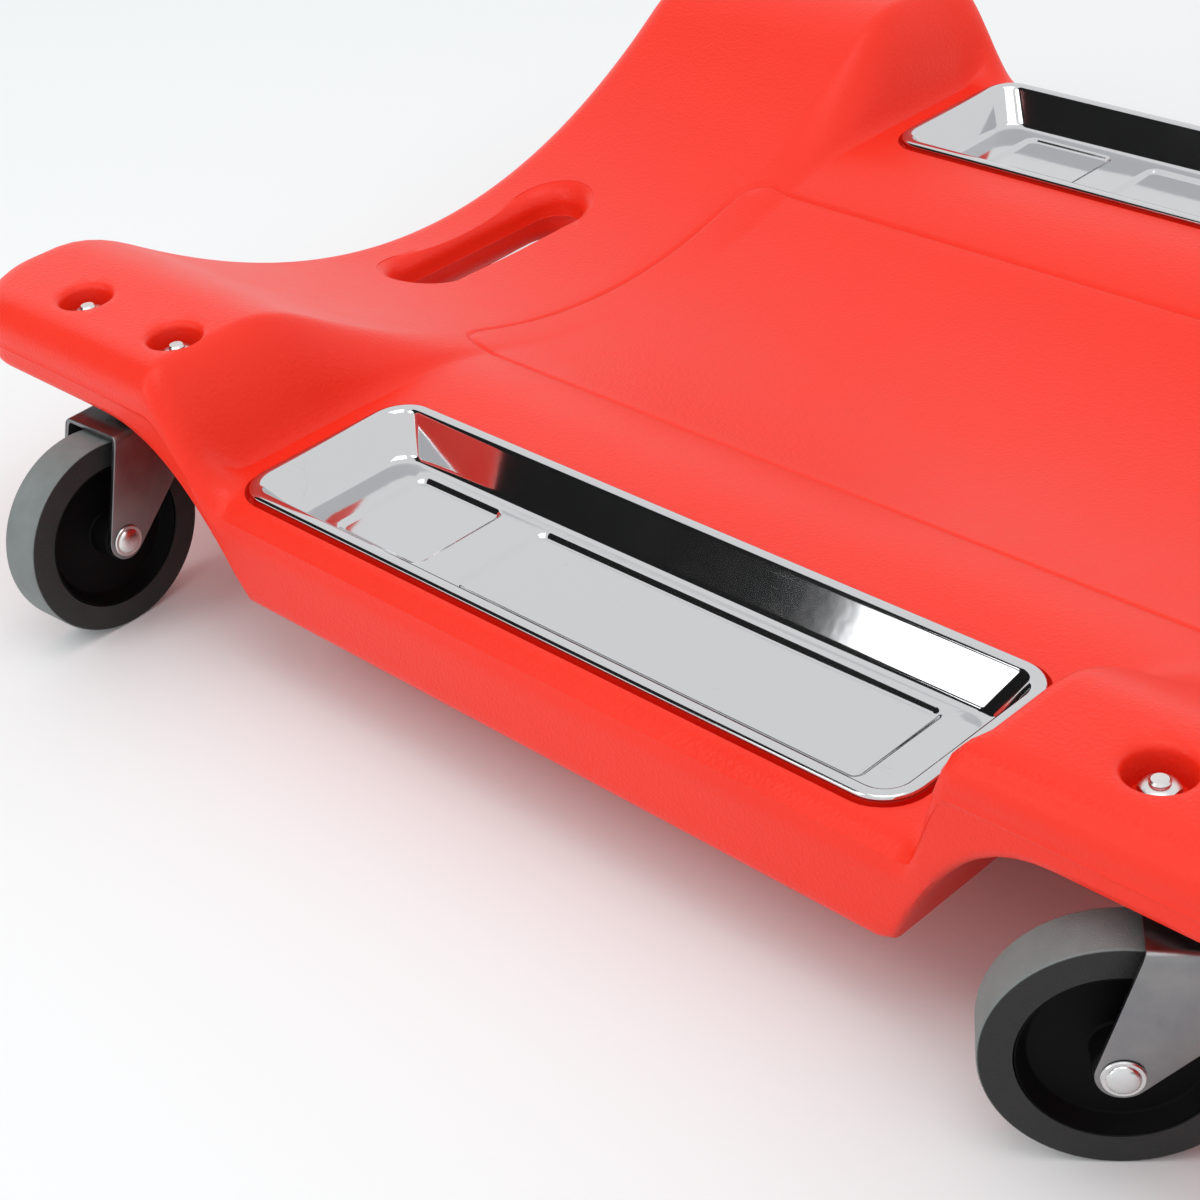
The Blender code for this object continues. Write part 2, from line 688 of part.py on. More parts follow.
def fork_mesh():
    """Pressed fork: a channel over the wheel whose legs taper to round tips at the axle."""
    tip_x = CASTER_TRAIL
    heel = (-FORK_BACK, crown_bottom - FORK_HEEL)
    reach = math.hypot(heel[0] - tip_x, heel[1] - WHEEL_RADIUS)
    towards = math.degrees(math.atan2(heel[1] - WHEEL_RADIUS, heel[0] - tip_x))
    tangent = towards + math.degrees(math.acos(LEG_TIP_RADIUS / reach))
    rise = crown_top - WHEEL_RADIUS
    front = math.degrees(math.atan2(rise, FORK_FRONT - tip_x))
    front -= math.degrees(math.acos(LEG_TIP_RADIUS / math.hypot(rise, FORK_FRONT - tip_x)))
    outline = [(FORK_FRONT, crown_top)]
    outline += arc_points(tip_x, WHEEL_RADIUS, LEG_TIP_RADIUS, 360 + front, tangent, 5)
    outline += [heel, (-FORK_BACK, crown_top)]
    blank = flat_solid("fork", [outline[::-1]], -FORK_WIDTH / 2, FORK_WIDTH / 2)
    blank.transform(ACROSS)
    bm = bmesh.new()
    bm.from_mesh(blank)
    bends = [edge for edge in bm.edges if edge_is_bend(edge)]
    bmesh.ops.bevel(bm, geom=bends, offset=FORK_BEND, segments=2, profile=0.5, affect="EDGES")
    bent = mesh_from(bm, "fork")
    inner = FORK_WIDTH / 2 - FORK_SHEET
    channel = box_mesh("channel", (-2 * FORK_BACK, -inner, 0), (2 * wheel_sweep, inner, crown_bottom))
    pin_rod = rod(PIN_RADIUS + SWIVEL_CLEARANCE, crown_bottom - FORK_SHEET, crown_top + FORK_SHEET)
    axle_rod = rod(AXLE_RADIUS + FIT_GAP, -FORK_WIDTH, FORK_WIDTH)
    axle_hole = turned("axle_hole", axle_rod, SMALL_FACETS)
    axle_hole.transform(Matrix.Translation((CASTER_TRAIL, 0, WHEEL_RADIUS)) @ ACROSS)
    cuts = (channel, turned("pin_hole", pin_rod, SMALL_FACETS), axle_hole)
    return combine("fork", bent, [("DIFFERENCE", cut) for cut in cuts])


def edge_is_bend(edge):
    """True for the two long edges where the fork's sheet bends from crown to leg."""
    first, second = (vert.co for vert in edge.verts)
    at_crown = min(first.z, second.z) > crown_top - WELD
    return at_crown and abs(first.y - second.y) < WELD


def rod(radius, low, high):
    return [(0, high), (radius, high), (radius, low), (0, low)]


def axle_mesh():
    seat = FORK_WIDTH / 2 + FIT_GAP
    top = seat + AXLE_HEAD_HEIGHT
    shoulder = (HEAD_TAPER * AXLE_HEAD_RADIUS, seat + HEAD_TAPER * AXLE_HEAD_HEIGHT)
    upper = [(0, top), shoulder, (AXLE_HEAD_RADIUS, seat), (AXLE_RADIUS, seat)]
    return turned("axle", upper + [(radius, -height) for radius, height in reversed(upper)], SMALL_FACETS)


def hub_mesh():
    radius = WHEEL_RADIUS - TYRE_THICKNESS - FIT_GAP
    half = TYRE_WIDTH / 2
    web = HUB_WEB / 2
    boss = FORK_WIDTH / 2 - FORK_SHEET - FIT_GAP
    bore = AXLE_RADIUS + FIT_GAP
    upper = [(bore, boss), (HUB_BOSS_RADIUS, boss), (HUB_BOSS_RADIUS, web)]
    upper += [(radius - HUB_RIM, web), (radius, half)]
    lower = [(r, -z) for r, z in reversed(upper)]
    return turned("hub", upper + lower, TURNED_FACETS)


def tyre_mesh():
    half = TYRE_WIDTH / 2
    inner = WHEEL_RADIUS - TYRE_THICKNESS
    upper = [(inner, half), (WHEEL_RADIUS - TYRE_CHAMFER, half), (WHEEL_RADIUS, half - TYRE_CHAMFER)]
    return turned("tyre", upper + [(r, -z) for r, z in reversed(upper)], TYRE_FACETS)


def plate_mesh():
    """Mounting plate with its pressed ball race below."""
    hole = BOLT_RADIUS + FIT_GAP
    holes = [arc_points(sign * BOLT_SPACING / 2, 0, hole, 0, 360, SMALL_FACETS)[:-1] for sign in (-1, 1)]
    centre = arc_points(0, 0, PIN_RADIUS + FIT_GAP, 0, 360, SMALL_FACETS)[:-1]
    outline = rounded_outline(plate_length, PLATE_WIDTH, PLATE_CORNER)
    plate = flat_solid("plate", [outline] + holes + [centre], plate_bottom, plate_top)
    inside = PIN_RADIUS + 2 * FIT_GAP + FORK_SHEET
    seat = plate_bottom + PLATE_THICKNESS / 2
    profile = [(inside, seat), (RACE_RADIUS, seat), (RACE_RADIUS, race_bottom + RACE_CHAMFER)]
    profile += [(RACE_RADIUS - RACE_CHAMFER, race_bottom), (inside, race_bottom)]
    return combine("plate", plate, [("UNION", turned("race", profile, RECESS_FACETS))])


def kingpin_mesh():
    head = crown_bottom - FIT_GAP
    tip = head - PIN_HEAD_HEIGHT
    end = plate_top - FIT_GAP
    profile = [(0, end), (PIN_RADIUS, end), (PIN_RADIUS, head), (PIN_HEAD_RADIUS, head)]
    profile += [(HEAD_TAPER * PIN_HEAD_RADIUS, tip), (0, tip)]
    return turned("kingpin", profile, SMALL_FACETS)


def bolt_mesh():
    """Bolt from below the plate, with the washer and hexagon nut that hold it on the boss."""
    washer_low = recess_floor + FIT_GAP
    washer_top = washer_low + WASHER_THICKNESS
    nut_top = washer_top + NUT_HEIGHT
    end = nut_top + BOLT_END
    head = plate_bottom - FIT_GAP
    profile = [(0, end), (BOLT_RADIUS, end), (BOLT_RADIUS, washer_top), (WASHER_RADIUS, washer_top)]
    profile += [(WASHER_RADIUS, washer_low), (BOLT_RADIUS, washer_low), (BOLT_RADIUS, head)]
    tip = head - BOLT_HEAD_HEIGHT
    profile += [(BOLT_HEAD_RADIUS, head), (HEAD_TAPER * BOLT_HEAD_RADIUS, tip), (0, tip)]
    bolt = turned("bolt", profile, SMALL_FACETS)
    across = NUT_FLATS / 2 / math.cos(math.pi / 6)
    nut = turned("nut", rod(across, washer_top - WASHER_THICKNESS / 2, nut_top), 6)
    return combine("bolt", bolt, [("UNION", nut)])


def build_casters():
    fork = fork_mesh()
    axle = moved(axle_mesh(), ACROSS)
    hub = moved(hub_mesh(), ACROSS)
    tyre = moved(tyre_mesh(), ACROSS)
    plate = plate_mesh()
    kingpin = kingpin_mesh()
    bolt = bolt_mesh()
    for name, x, y, angle in CASTERS:
        swivel = new_object("swivel_axis_" + name, None, assembly)
        swivel.location = (x, y, 0)
        swivel.rotation_euler.z = math.radians(angle)
        wheel = new_object("wheel_axis_" + name, None, assembly)
        wheel.location = (CASTER_TRAIL, 0, WHEEL_RADIUS)
        wheel.parent = swivel
        place("fork_" + name, fork, zinc, swivel)
        place("axle_" + name, axle, zinc, wheel)
        place("hub_" + name, hub, black_plastic, wheel)
        place("tyre_" + name, tyre, grey_rubber, wheel)
        for piece, mesh in (("plate_", plate), ("kingpin_", kingpin)):
            place(piece + name, mesh, zinc).location = (x, y, 0)
    for name, x, y in bolt_places():
        place(name, bolt, zinc).location = (x, y, 0)


def pad_mesh(bottom):
    """Cushion cage: sides drawn in between the corners, a crowned top and a flat underside."""
    bm = bmesh.new()
    bmesh.ops.create_cube(bm, size=2)
    bmesh.ops.subdivide_edges(bm, edges=bm.edges[:], cuts=3, use_grid_fill=True)
    for vert in bm.verts:
        u, v, w = vert.co
        corner = PAD_CORNER * (1 - math.sqrt(0.5)) * (u * v) ** 2
        waist = PAD_WAIST * (1 - w * w) + PAD_WAIST * (1 - (u * v) ** 2) / 2
        x = u * (PAD_DEPTH / 2 - corner - waist)
        y = v * (PAD_WIDTH / 2 - corner - waist)
        top = PAD_THICKNESS - PAD_CROWN * (1 - (1 - u * u) * (1 - v * v))
        vert.co = (x, y, bottom + top * (w + 1) / 2)
    return mesh_from(bm, "headrest_pad", 80)


def build_headrest():
    board_low = platform_top + FIT_GAP
    board_top = board_low + BOARD_THICKNESS
    outline = rounded_outline(board_depth, board_width, PAD_CORNER - BOARD_INSET)
    hole = SCREW_RADIUS + FIT_GAP
    holes = [arc_points(0, sign * screw_y, hole, 0, 360, SMALL_FACETS)[:-1] for sign in (-1, 1)]
    board = flat_solid("headrest_board", [outline] + holes, board_low, board_top)
    place("headrest_board", board, black_plastic).location.x = pad_x
    pad = place("headrest_pad", pad_mesh(board_top + FIT_GAP), black_vinyl)
    pad.location.x = pad_x
    soft = pad.modifiers.new("soft", "SUBSURF")
    soft.levels = 1
    soft.render_levels = 1
    seat = platform_top - SCREW_SEAT - FIT_GAP
    tip = board_top - SCREW_TIP_GAP
    profile = [(0, tip), (SCREW_RADIUS, tip), (SCREW_RADIUS, seat), (SCREW_HEAD_RADIUS, seat)]
    end = seat - SCREW_HEAD_HEIGHT
    profile += [(SCREW_HEAD_RADIUS, end), (0, end)]
    screw = turned("headrest_screw", profile, SMALL_FACETS)
    for side, name in ((-1, "headrest_screw_left"), (1, "headrest_screw_right")):
        place(name, screw, zinc).location = (pad_x, side * screw_y, 0)


for old in list(bpy.data.objects):
    bpy.data.objects.remove(old)
assembly = bpy.data.collections.new("mechanic_creeper")
cutters = bpy.data.collections.new("cutters")
bpy.context.scene.collection.children.link(assembly)
bpy.context.scene.collection.children.link(cutters)

red_plastic = material("red_plastic", (0.86, 0.055, 0.035), 0.38, 0)
stainless = material("stainless", (0.62, 0.62, 0.63), 0.18, 1)
zinc = material("zinc", (0.66, 0.68, 0.70), 0.3, 1)
black_plastic = material("black_plastic", (0.012, 0.012, 0.013), 0.45, 0)
grey_rubber = material("grey_rubber", (0.13, 0.135, 0.135), 0.55, 0)
black_vinyl = material("black_vinyl", (0.015, 0.015, 0.016), 0.5, 0)

build_deck()
build_trays()
build_casters()
build_headrest()
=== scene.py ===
"""Mechanic creeper, dressed: a red moulded deck on swivel casters, with steel tool trays and a headrest."""
import json
import math

import bmesh
import bpy
from mathutils import Matrix, Vector


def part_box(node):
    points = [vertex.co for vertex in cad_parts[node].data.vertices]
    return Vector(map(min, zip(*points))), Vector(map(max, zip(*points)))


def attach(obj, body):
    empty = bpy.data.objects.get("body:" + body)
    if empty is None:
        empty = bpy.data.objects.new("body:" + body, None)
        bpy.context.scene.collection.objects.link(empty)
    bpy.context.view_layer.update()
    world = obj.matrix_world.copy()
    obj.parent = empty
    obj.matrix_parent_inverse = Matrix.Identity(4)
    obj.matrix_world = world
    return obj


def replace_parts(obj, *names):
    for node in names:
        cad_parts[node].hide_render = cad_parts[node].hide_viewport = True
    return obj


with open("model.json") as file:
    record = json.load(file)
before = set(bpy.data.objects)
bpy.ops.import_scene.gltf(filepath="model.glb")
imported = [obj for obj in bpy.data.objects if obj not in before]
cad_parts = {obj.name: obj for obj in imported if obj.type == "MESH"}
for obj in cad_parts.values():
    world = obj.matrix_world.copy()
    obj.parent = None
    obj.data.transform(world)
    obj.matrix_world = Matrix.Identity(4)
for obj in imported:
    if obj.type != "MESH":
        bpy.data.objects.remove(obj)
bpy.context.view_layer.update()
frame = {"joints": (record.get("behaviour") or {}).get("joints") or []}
scene = bpy.context.scene
scene.view_settings.view_transform = "Standard"

# Studio: the camera looks down over the left side, from the place where the photograph was taken.
# A pale floor and an even white surround light the creeper, with a broad lamp over it, a small one high
# on its left side and a low one beside it. Dark flags stand where metal would mirror nothing but white.
CAMERA_PLACE = Vector((0.30225, -0.6282, 0.4977))
CAMERA_AZIMUTH = math.radians(48.96)
CAMERA_RISE = math.radians(32.80)
CAMERA_ROLL = math.radians(-6.886)
CAMERA_LENS = 74.25
CAMERA_SENSOR = 36
FLOOR_SIZE = 12
FLOOR_COLOUR = (0.905, 0.925, 0.93)
FLOOR_ROUGHNESS = 0.6
SURROUND_LIGHT = (0.83, 0.84, 0.845)
LAMP_TARGET = Vector((-0.15, -0.15, 0.06))
LAMPS = {
    "top_lamp": {"place": (0.05, -0.40, 1.90), "size": 1.2, "power": 6.9},
    "high_lamp": {"place": (-0.82, -1.24, 1.43), "size": 0.5, "power": 2.3},
    "low_lamp": {"place": (-1.02, -1.98, 0.71), "size": 0.7, "power": 2.9},
}
FLAG_DISTANCE = 3.0
FLAG_SPECULAR = 0.5
FLAGS = {
    "flag_left": {"first_degree": 179, "last_degree": 235, "height": 5.0, "grey": 0.004},
    "flag_right": {"first_degree": -25, "last_degree": 55, "height": 1.2, "grey": 0.3},
}


def add_node(tree, kind, inputs=None, **settings):
    """A shader node with its settings made and its inputs set or linked."""
    made = tree.nodes.new("ShaderNode" + kind)
    for key, value in settings.items():
        setattr(made, key, value)
    for key, value in (inputs or {}).items():
        if isinstance(value, bpy.types.NodeSocket):
            tree.links.new(value, made.inputs[key])
        else:
            made.inputs[key].default_value = value
    return made


def new_material(name):
    """A node material with only its shader, its tree and that shader."""
    made = bpy.data.materials.new(name)
    made.use_nodes = True
    return made, made.node_tree, made.node_tree.nodes["Principled BSDF"]


def add_object(name, data):
    """An object in the scene, at the origin."""
    made = bpy.data.objects.new(name, data)
    scene.collection.objects.link(made)
    return made


def plain_mesh(bm, name):
    """Finish a bmesh as a mesh."""
    mesh = bpy.data.meshes.new(name)
    bm.to_mesh(mesh)
    bm.free()
    return mesh


def softbox(name, place, size, power):
    """A broad square lamp that faces the creeper."""
    lamp = bpy.data.lights.new(name, "AREA")
    lamp.shape = "SQUARE"
    lamp.size = size
    lamp.energy = power
    stand = add_object(name, lamp)
    stand.location = place
    stand.rotation_euler = (LAMP_TARGET - Vector(place)).to_track_quat("-Z", "Y").to_euler()


def stage_plane(name, place, colour, roughness, specular):
    """A flat plane of the studio: a unit square put in its place by a matrix."""
    plane_bm = bmesh.new()
    bmesh.ops.create_grid(plane_bm, x_segments=1, y_segments=1, size=0.5, matrix=place)
    plane = add_object(name, plain_mesh(plane_bm, name))
    material, _, shader = new_material(name)
    shader.inputs["Base Color"].default_value = (*colour, 1)
    shader.inputs["Roughness"].default_value = roughness
    shader.inputs["Specular IOR Level"].default_value = specular
    plane.data.materials.append(material)
    return plane


back = Vector((
    math.sin(CAMERA_AZIMUTH) * math.cos(CAMERA_RISE),
    -math.cos(CAMERA_AZIMUTH) * math.cos(CAMERA_RISE),
    math.sin(CAMERA_RISE),
))
level = Vector((math.cos(CAMERA_AZIMUTH), math.sin(CAMERA_AZIMUTH), 0))
right = math.cos(CAMERA_ROLL) * level + math.sin(CAMERA_ROLL) * back.cross(level)
lens = bpy.data.cameras.new("camera")
lens.lens = CAMERA_LENS
lens.sensor_width = CAMERA_SENSOR
camera = add_object("camera", lens)
facing = Matrix((right, back.cross(right), back)).transposed().to_4x4()
camera.matrix_world = Matrix.Translation(CAMERA_PLACE) @ facing
scene.camera = camera

stage_plane("floor", Matrix.Diagonal((FLOOR_SIZE, FLOOR_SIZE, 1, 1)), FLOOR_COLOUR, FLOOR_ROUGHNESS, 0)

world = bpy.data.worlds.new("surround")
scene.world = world
world.use_nodes = True
surround = world.node_tree
surround.nodes.clear()
ray = add_node(surround, "LightPath")
seen = ray.outputs["Is Camera Ray"]
for kind in ("Is Glossy Ray", "Is Transmission Ray"):
    seen = add_node(surround, "Math", {0: seen, 1: ray.outputs[kind]}, operation="MAXIMUM").outputs[0]
even = add_node(surround, "Background", {"Color": (*SURROUND_LIGHT, 1), "Strength": 1})
white = add_node(surround, "Background", {"Color": (1, 1, 1, 1), "Strength": 1})
either = add_node(surround, "MixShader", {0: seen, 1: even.outputs[0], 2: white.outputs[0]})
add_node(surround, "OutputWorld", {"Surface": either.outputs[0]})

for name, lamp in LAMPS.items():
    softbox(name, **lamp)

for name, flag in FLAGS.items():
    azimuth = math.radians(flag["first_degree"] + flag["last_degree"]) / 2
    half_angle = math.radians(flag["last_degree"] - flag["first_degree"]) / 2
    size = Matrix.Diagonal((2 * FLAG_DISTANCE * math.tan(half_angle), flag["height"], 1, 1))
    spot = LAMP_TARGET + FLAG_DISTANCE * Vector((math.cos(azimuth), math.sin(azimuth), 0))
    spot.z = flag["height"] / 2
    turn = Matrix.Rotation(azimuth + math.pi / 2, 4, "Z") @ Matrix.Rotation(math.pi / 2, 4, "X")
    plane = stage_plane(name, Matrix.Translation(spot) @ turn @ size, [flag["grey"]] * 3, 1, FLAG_SPECULAR)
    for kind in ("camera", "diffuse", "transmission", "volume_scatter", "shadow"):
        setattr(plane, "visible_" + kind, False)

# Deck: one hollow blow-moulded shell of red polyethylene with a fine leather grain in the mould.
# Six bosses carry the casters; a trough for the back, tray pockets and a handle slot are moulded in,
# and the mould's parting line runs round the side.
EDGE_RADIUS = 0.012
UNDER_RADIUS = 0.004
CORNER_RADIUS = 0.036
BOSS_THICKNESS = 0.0262
BOSS_RISE = 0.043
RAIL_THICKNESS = 0.0371
PANEL_DROP = 0.0066
TROUGH_DEPTH = 0.0133
BELLY_DEPTH = 0.0055
PANEL_HALF_WIDTH = 0.0866
RAIL_INNER = 0.12605
END_BOSS_TOP_INSET = 0.062
END_BOSS_ROUNDING = 0.012
MID_BOSS_TOP_INSET = 0.0413
MID_BOSS_SLOPE = 0.085
END_PLATEAU = 0.0385
END_WALL_RUN = 0.0195
END_WALL_BELLY = 1.5
END_WALL_FOOT = 0.715
END_WALL_BLUR = (-0.002, -0.001, 0, 0.001, 0.002)
END_SHOULDER_RUN = 0.0355
FLARE_WIDTH = 0.026
MID_PLATEAU = 0.0695
MID_SHOULDER_RUN = 0.0235
MID_FLARE = 0.006
MID_FLARE_WIDTH = 0.016
CEILING_REACH = 0.040
CEILING_INNER = 0.037
WELL_REACH = 0.080
MID_WELL_REACH = 0.098
ARCH_CEILING = 0.008
ARCH_REACH = 0.081
SKIRT_WIDTH = 0.006
SKIRT_LIP = 0.0018
WELL_POWER = 1.5
WELL_FULLNESS = 0.9
WELL_ROUNDNESS = 4
ARCH_POWER = 2.5
PLATFORM_RISE = 0.010
PLATFORM_MARGIN = 0.004
PLATFORM_BLEND = 0.030
GROOVE_FOOT = -0.3866
GROOVE_HEAD = 0.335
GROOVE_CORNER = 0.014
GROOVE_HALF_WIDTH = 0.0016
GROOVE_DEPTH = 0.0008
GROOVE_LINES = (0, 0.0006, 0.0012, 0.0022)
GROOVE_FADE = 3
SEAM_DROP_ON_RAIL = 0.0057
SEAM_DROP_ON_BOSS = 0.017
SEAM_HALF_WIDTH = 0.0004
SEAM_HEIGHT = 0.0002
GRID_SPACING = 0.006
CORNER_SPACING = 0.003
CORNER_LINES = 9
SHOULDER_SPACING = 0.0026
WALL_SPACING = 0.001
RINGS_ABOVE_SEAM = 8
RINGS_BELOW_SEAM = 9
UNDER_INSETS = (0.00054, 0.002, 0.004, 0.006, 0.009)
RECESS_RADIUS = 0.0098
RECESS_DEPTH = 0.0115
RECESS_LIP = 0.0026
RECESS_LIP_STEPS = 6
RECESS_SIDES = 40
LIP_START = math.radians(15)
BOLT_SPACING = 0.056
BOLT_RADIUS = 0.003
FIT_GAP = 0.0003
SLOT_END_INSET = 0.046
SLOT_LENGTH = 0.102
SLOT_WIDTH = 0.030
SLOT_LIP = 0.008
SLOT_LIP_STEPS = 8
SLOT_END_STEPS = 16
SLOT_ROUNDNESS = 0.499
TRAY_CORNER = 0.014
TRAY_CLEARANCE = 0.001
POCKET_MOUTH_INSET = 0.0032
POCKET_FLOOR_INSET = 0.0112
POCKET_DEPTH = 0.0216
POCKET_CORNER_STEPS = 8
MOAT_INSET = 0.0012
MOAT_DEPTH = 0.004
MOAT_CHAMFER = 0.0008
REBATE_SKIN = 0.0001
REBATE_HEIGHT = 0.030
SCREW_RADIUS = 0.0022
SCREW_SEAT = 0.012
SCREW_WELL_RADIUS = 0.0075
SCREW_SIDES = 24
WELD = 0.00001
SMOOTH_ANGLE = math.radians(35)
GRAIN_DETAIL = 2
TONE_DETAIL = 4
TONE_BREAKUP = 0.6
TONE_LOW = 0.3
TONE_HIGH = 0.7
RED = {
    "patches": 14,
    "colours": ((0.905, 0.0255, 0.008), (0.935, 0.029, 0.0095)),
    "roughness": (0.34, 0.42),
    "plain": {"Specular IOR Level": 0.32},
}
RED_WAVES = {"scale": 11, "depth": 0.0012, "strength": 0.12}
RED_GRAIN = {"scale": 720, "depth": 0.0004, "strength": 0.26}

deck_low, deck_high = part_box("deck")
half_length = deck_high.x
half_width = deck_high.y
boss_top = deck_high.z
boss_bottom = boss_top - BOSS_THICKNESS
rail_top = boss_top - BOSS_RISE
panel_edge = rail_top - PANEL_DROP
deck_bottom = rail_top - RAIL_THICKNESS
end_boss_top = half_width - END_BOSS_TOP_INSET
mid_boss_top = half_width - MID_BOSS_TOP_INSET
platform_top = panel_edge + PLATFORM_RISE
board_low, board_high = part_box("headrest_board")
pad_x = (board_low.x + board_high.x) / 2
platform_start = board_low.x - PLATFORM_MARGIN - PLATFORM_BLEND
platform_half = board_high.y + PLATFORM_MARGIN
joint_places = {joint["name"]: Vector(joint["pos_m"]) for joint in frame["joints"] if "pos_m" in joint}
swivels = {name[len("swivel_"):]: place for name, place in joint_places.items()
           if name.startswith("swivel_")}
end_caster_x = swivels["head_right"].x
caster_y = swivels["head_right"].y
mid_caster_x = swivels["mid_right"].x


def clamp(value):
    return min(max(value, 0.0), 1.0)


def ease(value):
    """Smooth step from 0 to 1."""
    step = clamp(value)
    return step * step * (3 - 2 * step)


def cross_section(side):
    """Top of the deck between the bosses: a trough for the back, rising to a flat rail."""
    if side <= PANEL_HALF_WIDTH:
        return panel_edge - TROUGH_DEPTH * (1 - (side / PANEL_HALF_WIDTH) ** 2)
    run = RAIL_INNER - PANEL_HALF_WIDTH
    step = clamp((side - PANEL_HALF_WIDTH) / run)
    slope = 2 * TROUGH_DEPTH / PANEL_HALF_WIDTH * run
    return panel_edge + slope * step * (1 - step) ** 2 + PANEL_DROP * ease(step)


def end_boss_height(side):
    """Top of an end boss: a plateau that falls away in one wide curve to the middle of the trough."""
    lowest = cross_section(0)
    curve = lowest + (boss_top - lowest) * (side / end_boss_top) ** 2
    near = max(END_BOSS_ROUNDING - abs(curve - boss_top), 0.0) / END_BOSS_ROUNDING
    return min(curve, boss_top) - END_BOSS_ROUNDING * near ** 2 / 4


def wall_drop(away):
    """Share of an end boss's height lost down its inner wall, which bellies out over a tight foot."""
    return 1 - (1 - clamp(away / END_WALL_RUN) ** END_WALL_BELLY) ** END_WALL_FOOT


def boss_rise(x, side):
    """How far the caster bosses rise above the cross-section at a point."""
    valley = cross_section(side)
    away = end_caster_x - END_PLATEAU - abs(x)
    wall = sum(wall_drop(away + step) for step in END_WALL_BLUR) / len(END_WALL_BLUR)
    outer = ease((side - half_width + FLARE_WIDTH) / FLARE_WIDTH)
    end = 1 - wall - (ease(away / END_SHOULDER_RUN) - wall) * outer
    wider = MID_FLARE * ease((side - half_width + MID_FLARE_WIDTH) / MID_FLARE_WIDTH)
    mid = 1 - ease((abs(x - mid_caster_x) - MID_PLATEAU - wider) / (MID_SHOULDER_RUN - wider))
    mid *= 1 - ease((mid_boss_top - side) / MID_BOSS_SLOPE)
    return max(end * (end_boss_height(side) - valley), mid * (boss_top - valley))


def top_height(x, y):
    """Top surface of the deck, without its groove and rounded edge."""
    side = abs(y)
    height = cross_section(side) + boss_rise(x, side)
    platform = ease((x - platform_start) / PLATFORM_BLEND)
    platform *= 1 - ease((side - platform_half) / PLATFORM_BLEND)
    return height + (platform_top - height) * platform


def well_share(away, ceiling, reach, inward, power, fullness=1):
    """How far the roof of a wheel well has come down, from 0 at its ceiling to 1 at the underside."""
    along = (max(away - ceiling, 0.0) / (reach - ceiling)) ** fullness
    across = max(inward - CEILING_INNER, 0.0) / (WELL_REACH - CEILING_INNER)
    both = along ** WELL_ROUNDNESS + across ** WELL_ROUNDNESS
    return clamp(both ** (1 / WELL_ROUNDNESS)) ** power


def bottom_height(x, y):
    """Underside of the deck, with its wheel wells, without its rounded edge."""
    side = abs(y)
    under = deck_bottom - BELLY_DEPTH * max(1 - (side / PANEL_HALF_WIDTH) ** 2, 0.0)
    inward = max(caster_y - side, 0.0)
    away = max(end_caster_x - abs(x), 0.0)
    skirt = clamp((side - half_width + SKIRT_WIDTH) / (SKIRT_WIDTH - SKIRT_LIP))
    inner = well_share(away, CEILING_REACH, WELL_REACH, inward, WELL_POWER, WELL_FULLNESS)
    outer = well_share(away, ARCH_CEILING, ARCH_REACH, inward, ARCH_POWER)
    end_share = inner + (outer - inner) * skirt
    mid_share = well_share(abs(x - mid_caster_x), CEILING_REACH, MID_WELL_REACH, inward, ARCH_POWER)
    return boss_bottom - (boss_bottom - under) * min(end_share, mid_share)


def disc(u, v):
    """Draw a point of the unit square in to the unit disc."""
    return u * math.sqrt(1 - v * v / 2), v * math.sqrt(1 - u * u / 2)


def round_corner(x, y):
    """Draw a grid point in so that the square grid follows the outline's rounded corner."""
    radius = CORNER_RADIUS - EDGE_RADIUS
    centre_x = half_length - CORNER_RADIUS
    centre_y = half_width - CORNER_RADIUS
    u, v = disc(max(abs(x) - centre_x, 0) / radius, max(abs(y) - centre_y, 0) / radius)
    moved_x = min(abs(x), centre_x) + radius * u
    moved_y = min(abs(y), centre_y) + radius * v
    return math.copysign(moved_x, x), math.copysign(moved_y, y)


groove_centre = (GROOVE_FOOT + GROOVE_HEAD) / 2
groove_inner_x = (GROOVE_HEAD - GROOVE_FOOT) / 2 - GROOVE_CORNER
groove_inner_y = PANEL_HALF_WIDTH - GROOVE_CORNER


def round_groove(x, y):
    """Draw the grid in round the groove's corners, so that its lines follow the groove."""
    from_x = abs(x - groove_centre) - groove_inner_x
    from_y = abs(y) - groove_inner_y
    reach = max(from_x, from_y) / GROOVE_CORNER
    if min(from_x, from_y) <= 0 or reach >= GROOVE_FADE:
        return x, y
    scale = GROOVE_CORNER * max(reach, 1)
    u, v = disc(from_x / scale, from_y / scale)
    fade = 1 - ease((reach - 1) / (GROOVE_FADE - 1))
    step_x = GROOVE_CORNER * (u - from_x / scale) * fade
    step_y = GROOVE_CORNER * (v - from_y / scale) * fade
    return x - math.copysign(step_x, x - groove_centre), y - math.copysign(step_y, y)


def groove_depth(x, y):
    """Depth of the line moulded round the lying panel."""
    from_x = abs(x - groove_centre) - groove_inner_x
    from_y = abs(y) - groove_inner_y
    outside = math.hypot(max(from_x, 0), max(from_y, 0)) + min(max(from_x, from_y), 0)
    return GROOVE_DEPTH * (1 - ease(abs(outside - GROOVE_CORNER) / GROOVE_HALF_WIDTH))


def grid_lines(half, fixed, spans):
    """Even grid lines across the deck, closer in its corners, at the fixed lines and over some spans."""
    reach = half - EDGE_RADIUS
    fine = [reach - CORNER_SPACING * index for index in range(CORNER_LINES)]
    kept = list(fixed) + fine + [-line for line in fine]
    for first, last, spacing in (*spans, (-fine[-1], fine[-1], GRID_SPACING)):
        count = math.ceil((last - first) / spacing)
        lines = [first + (last - first) * index / count for index in range(count + 1)]
        kept += [line for line in lines if all(abs(line - other) > spacing / 3 for other in kept)]
    return sorted(kept)


def beside(lines):
    """Groove grid lines on both sides of each line."""
    return {line + sign * offset for line in lines for offset in GROOVE_LINES for sign in (-1, 1)}


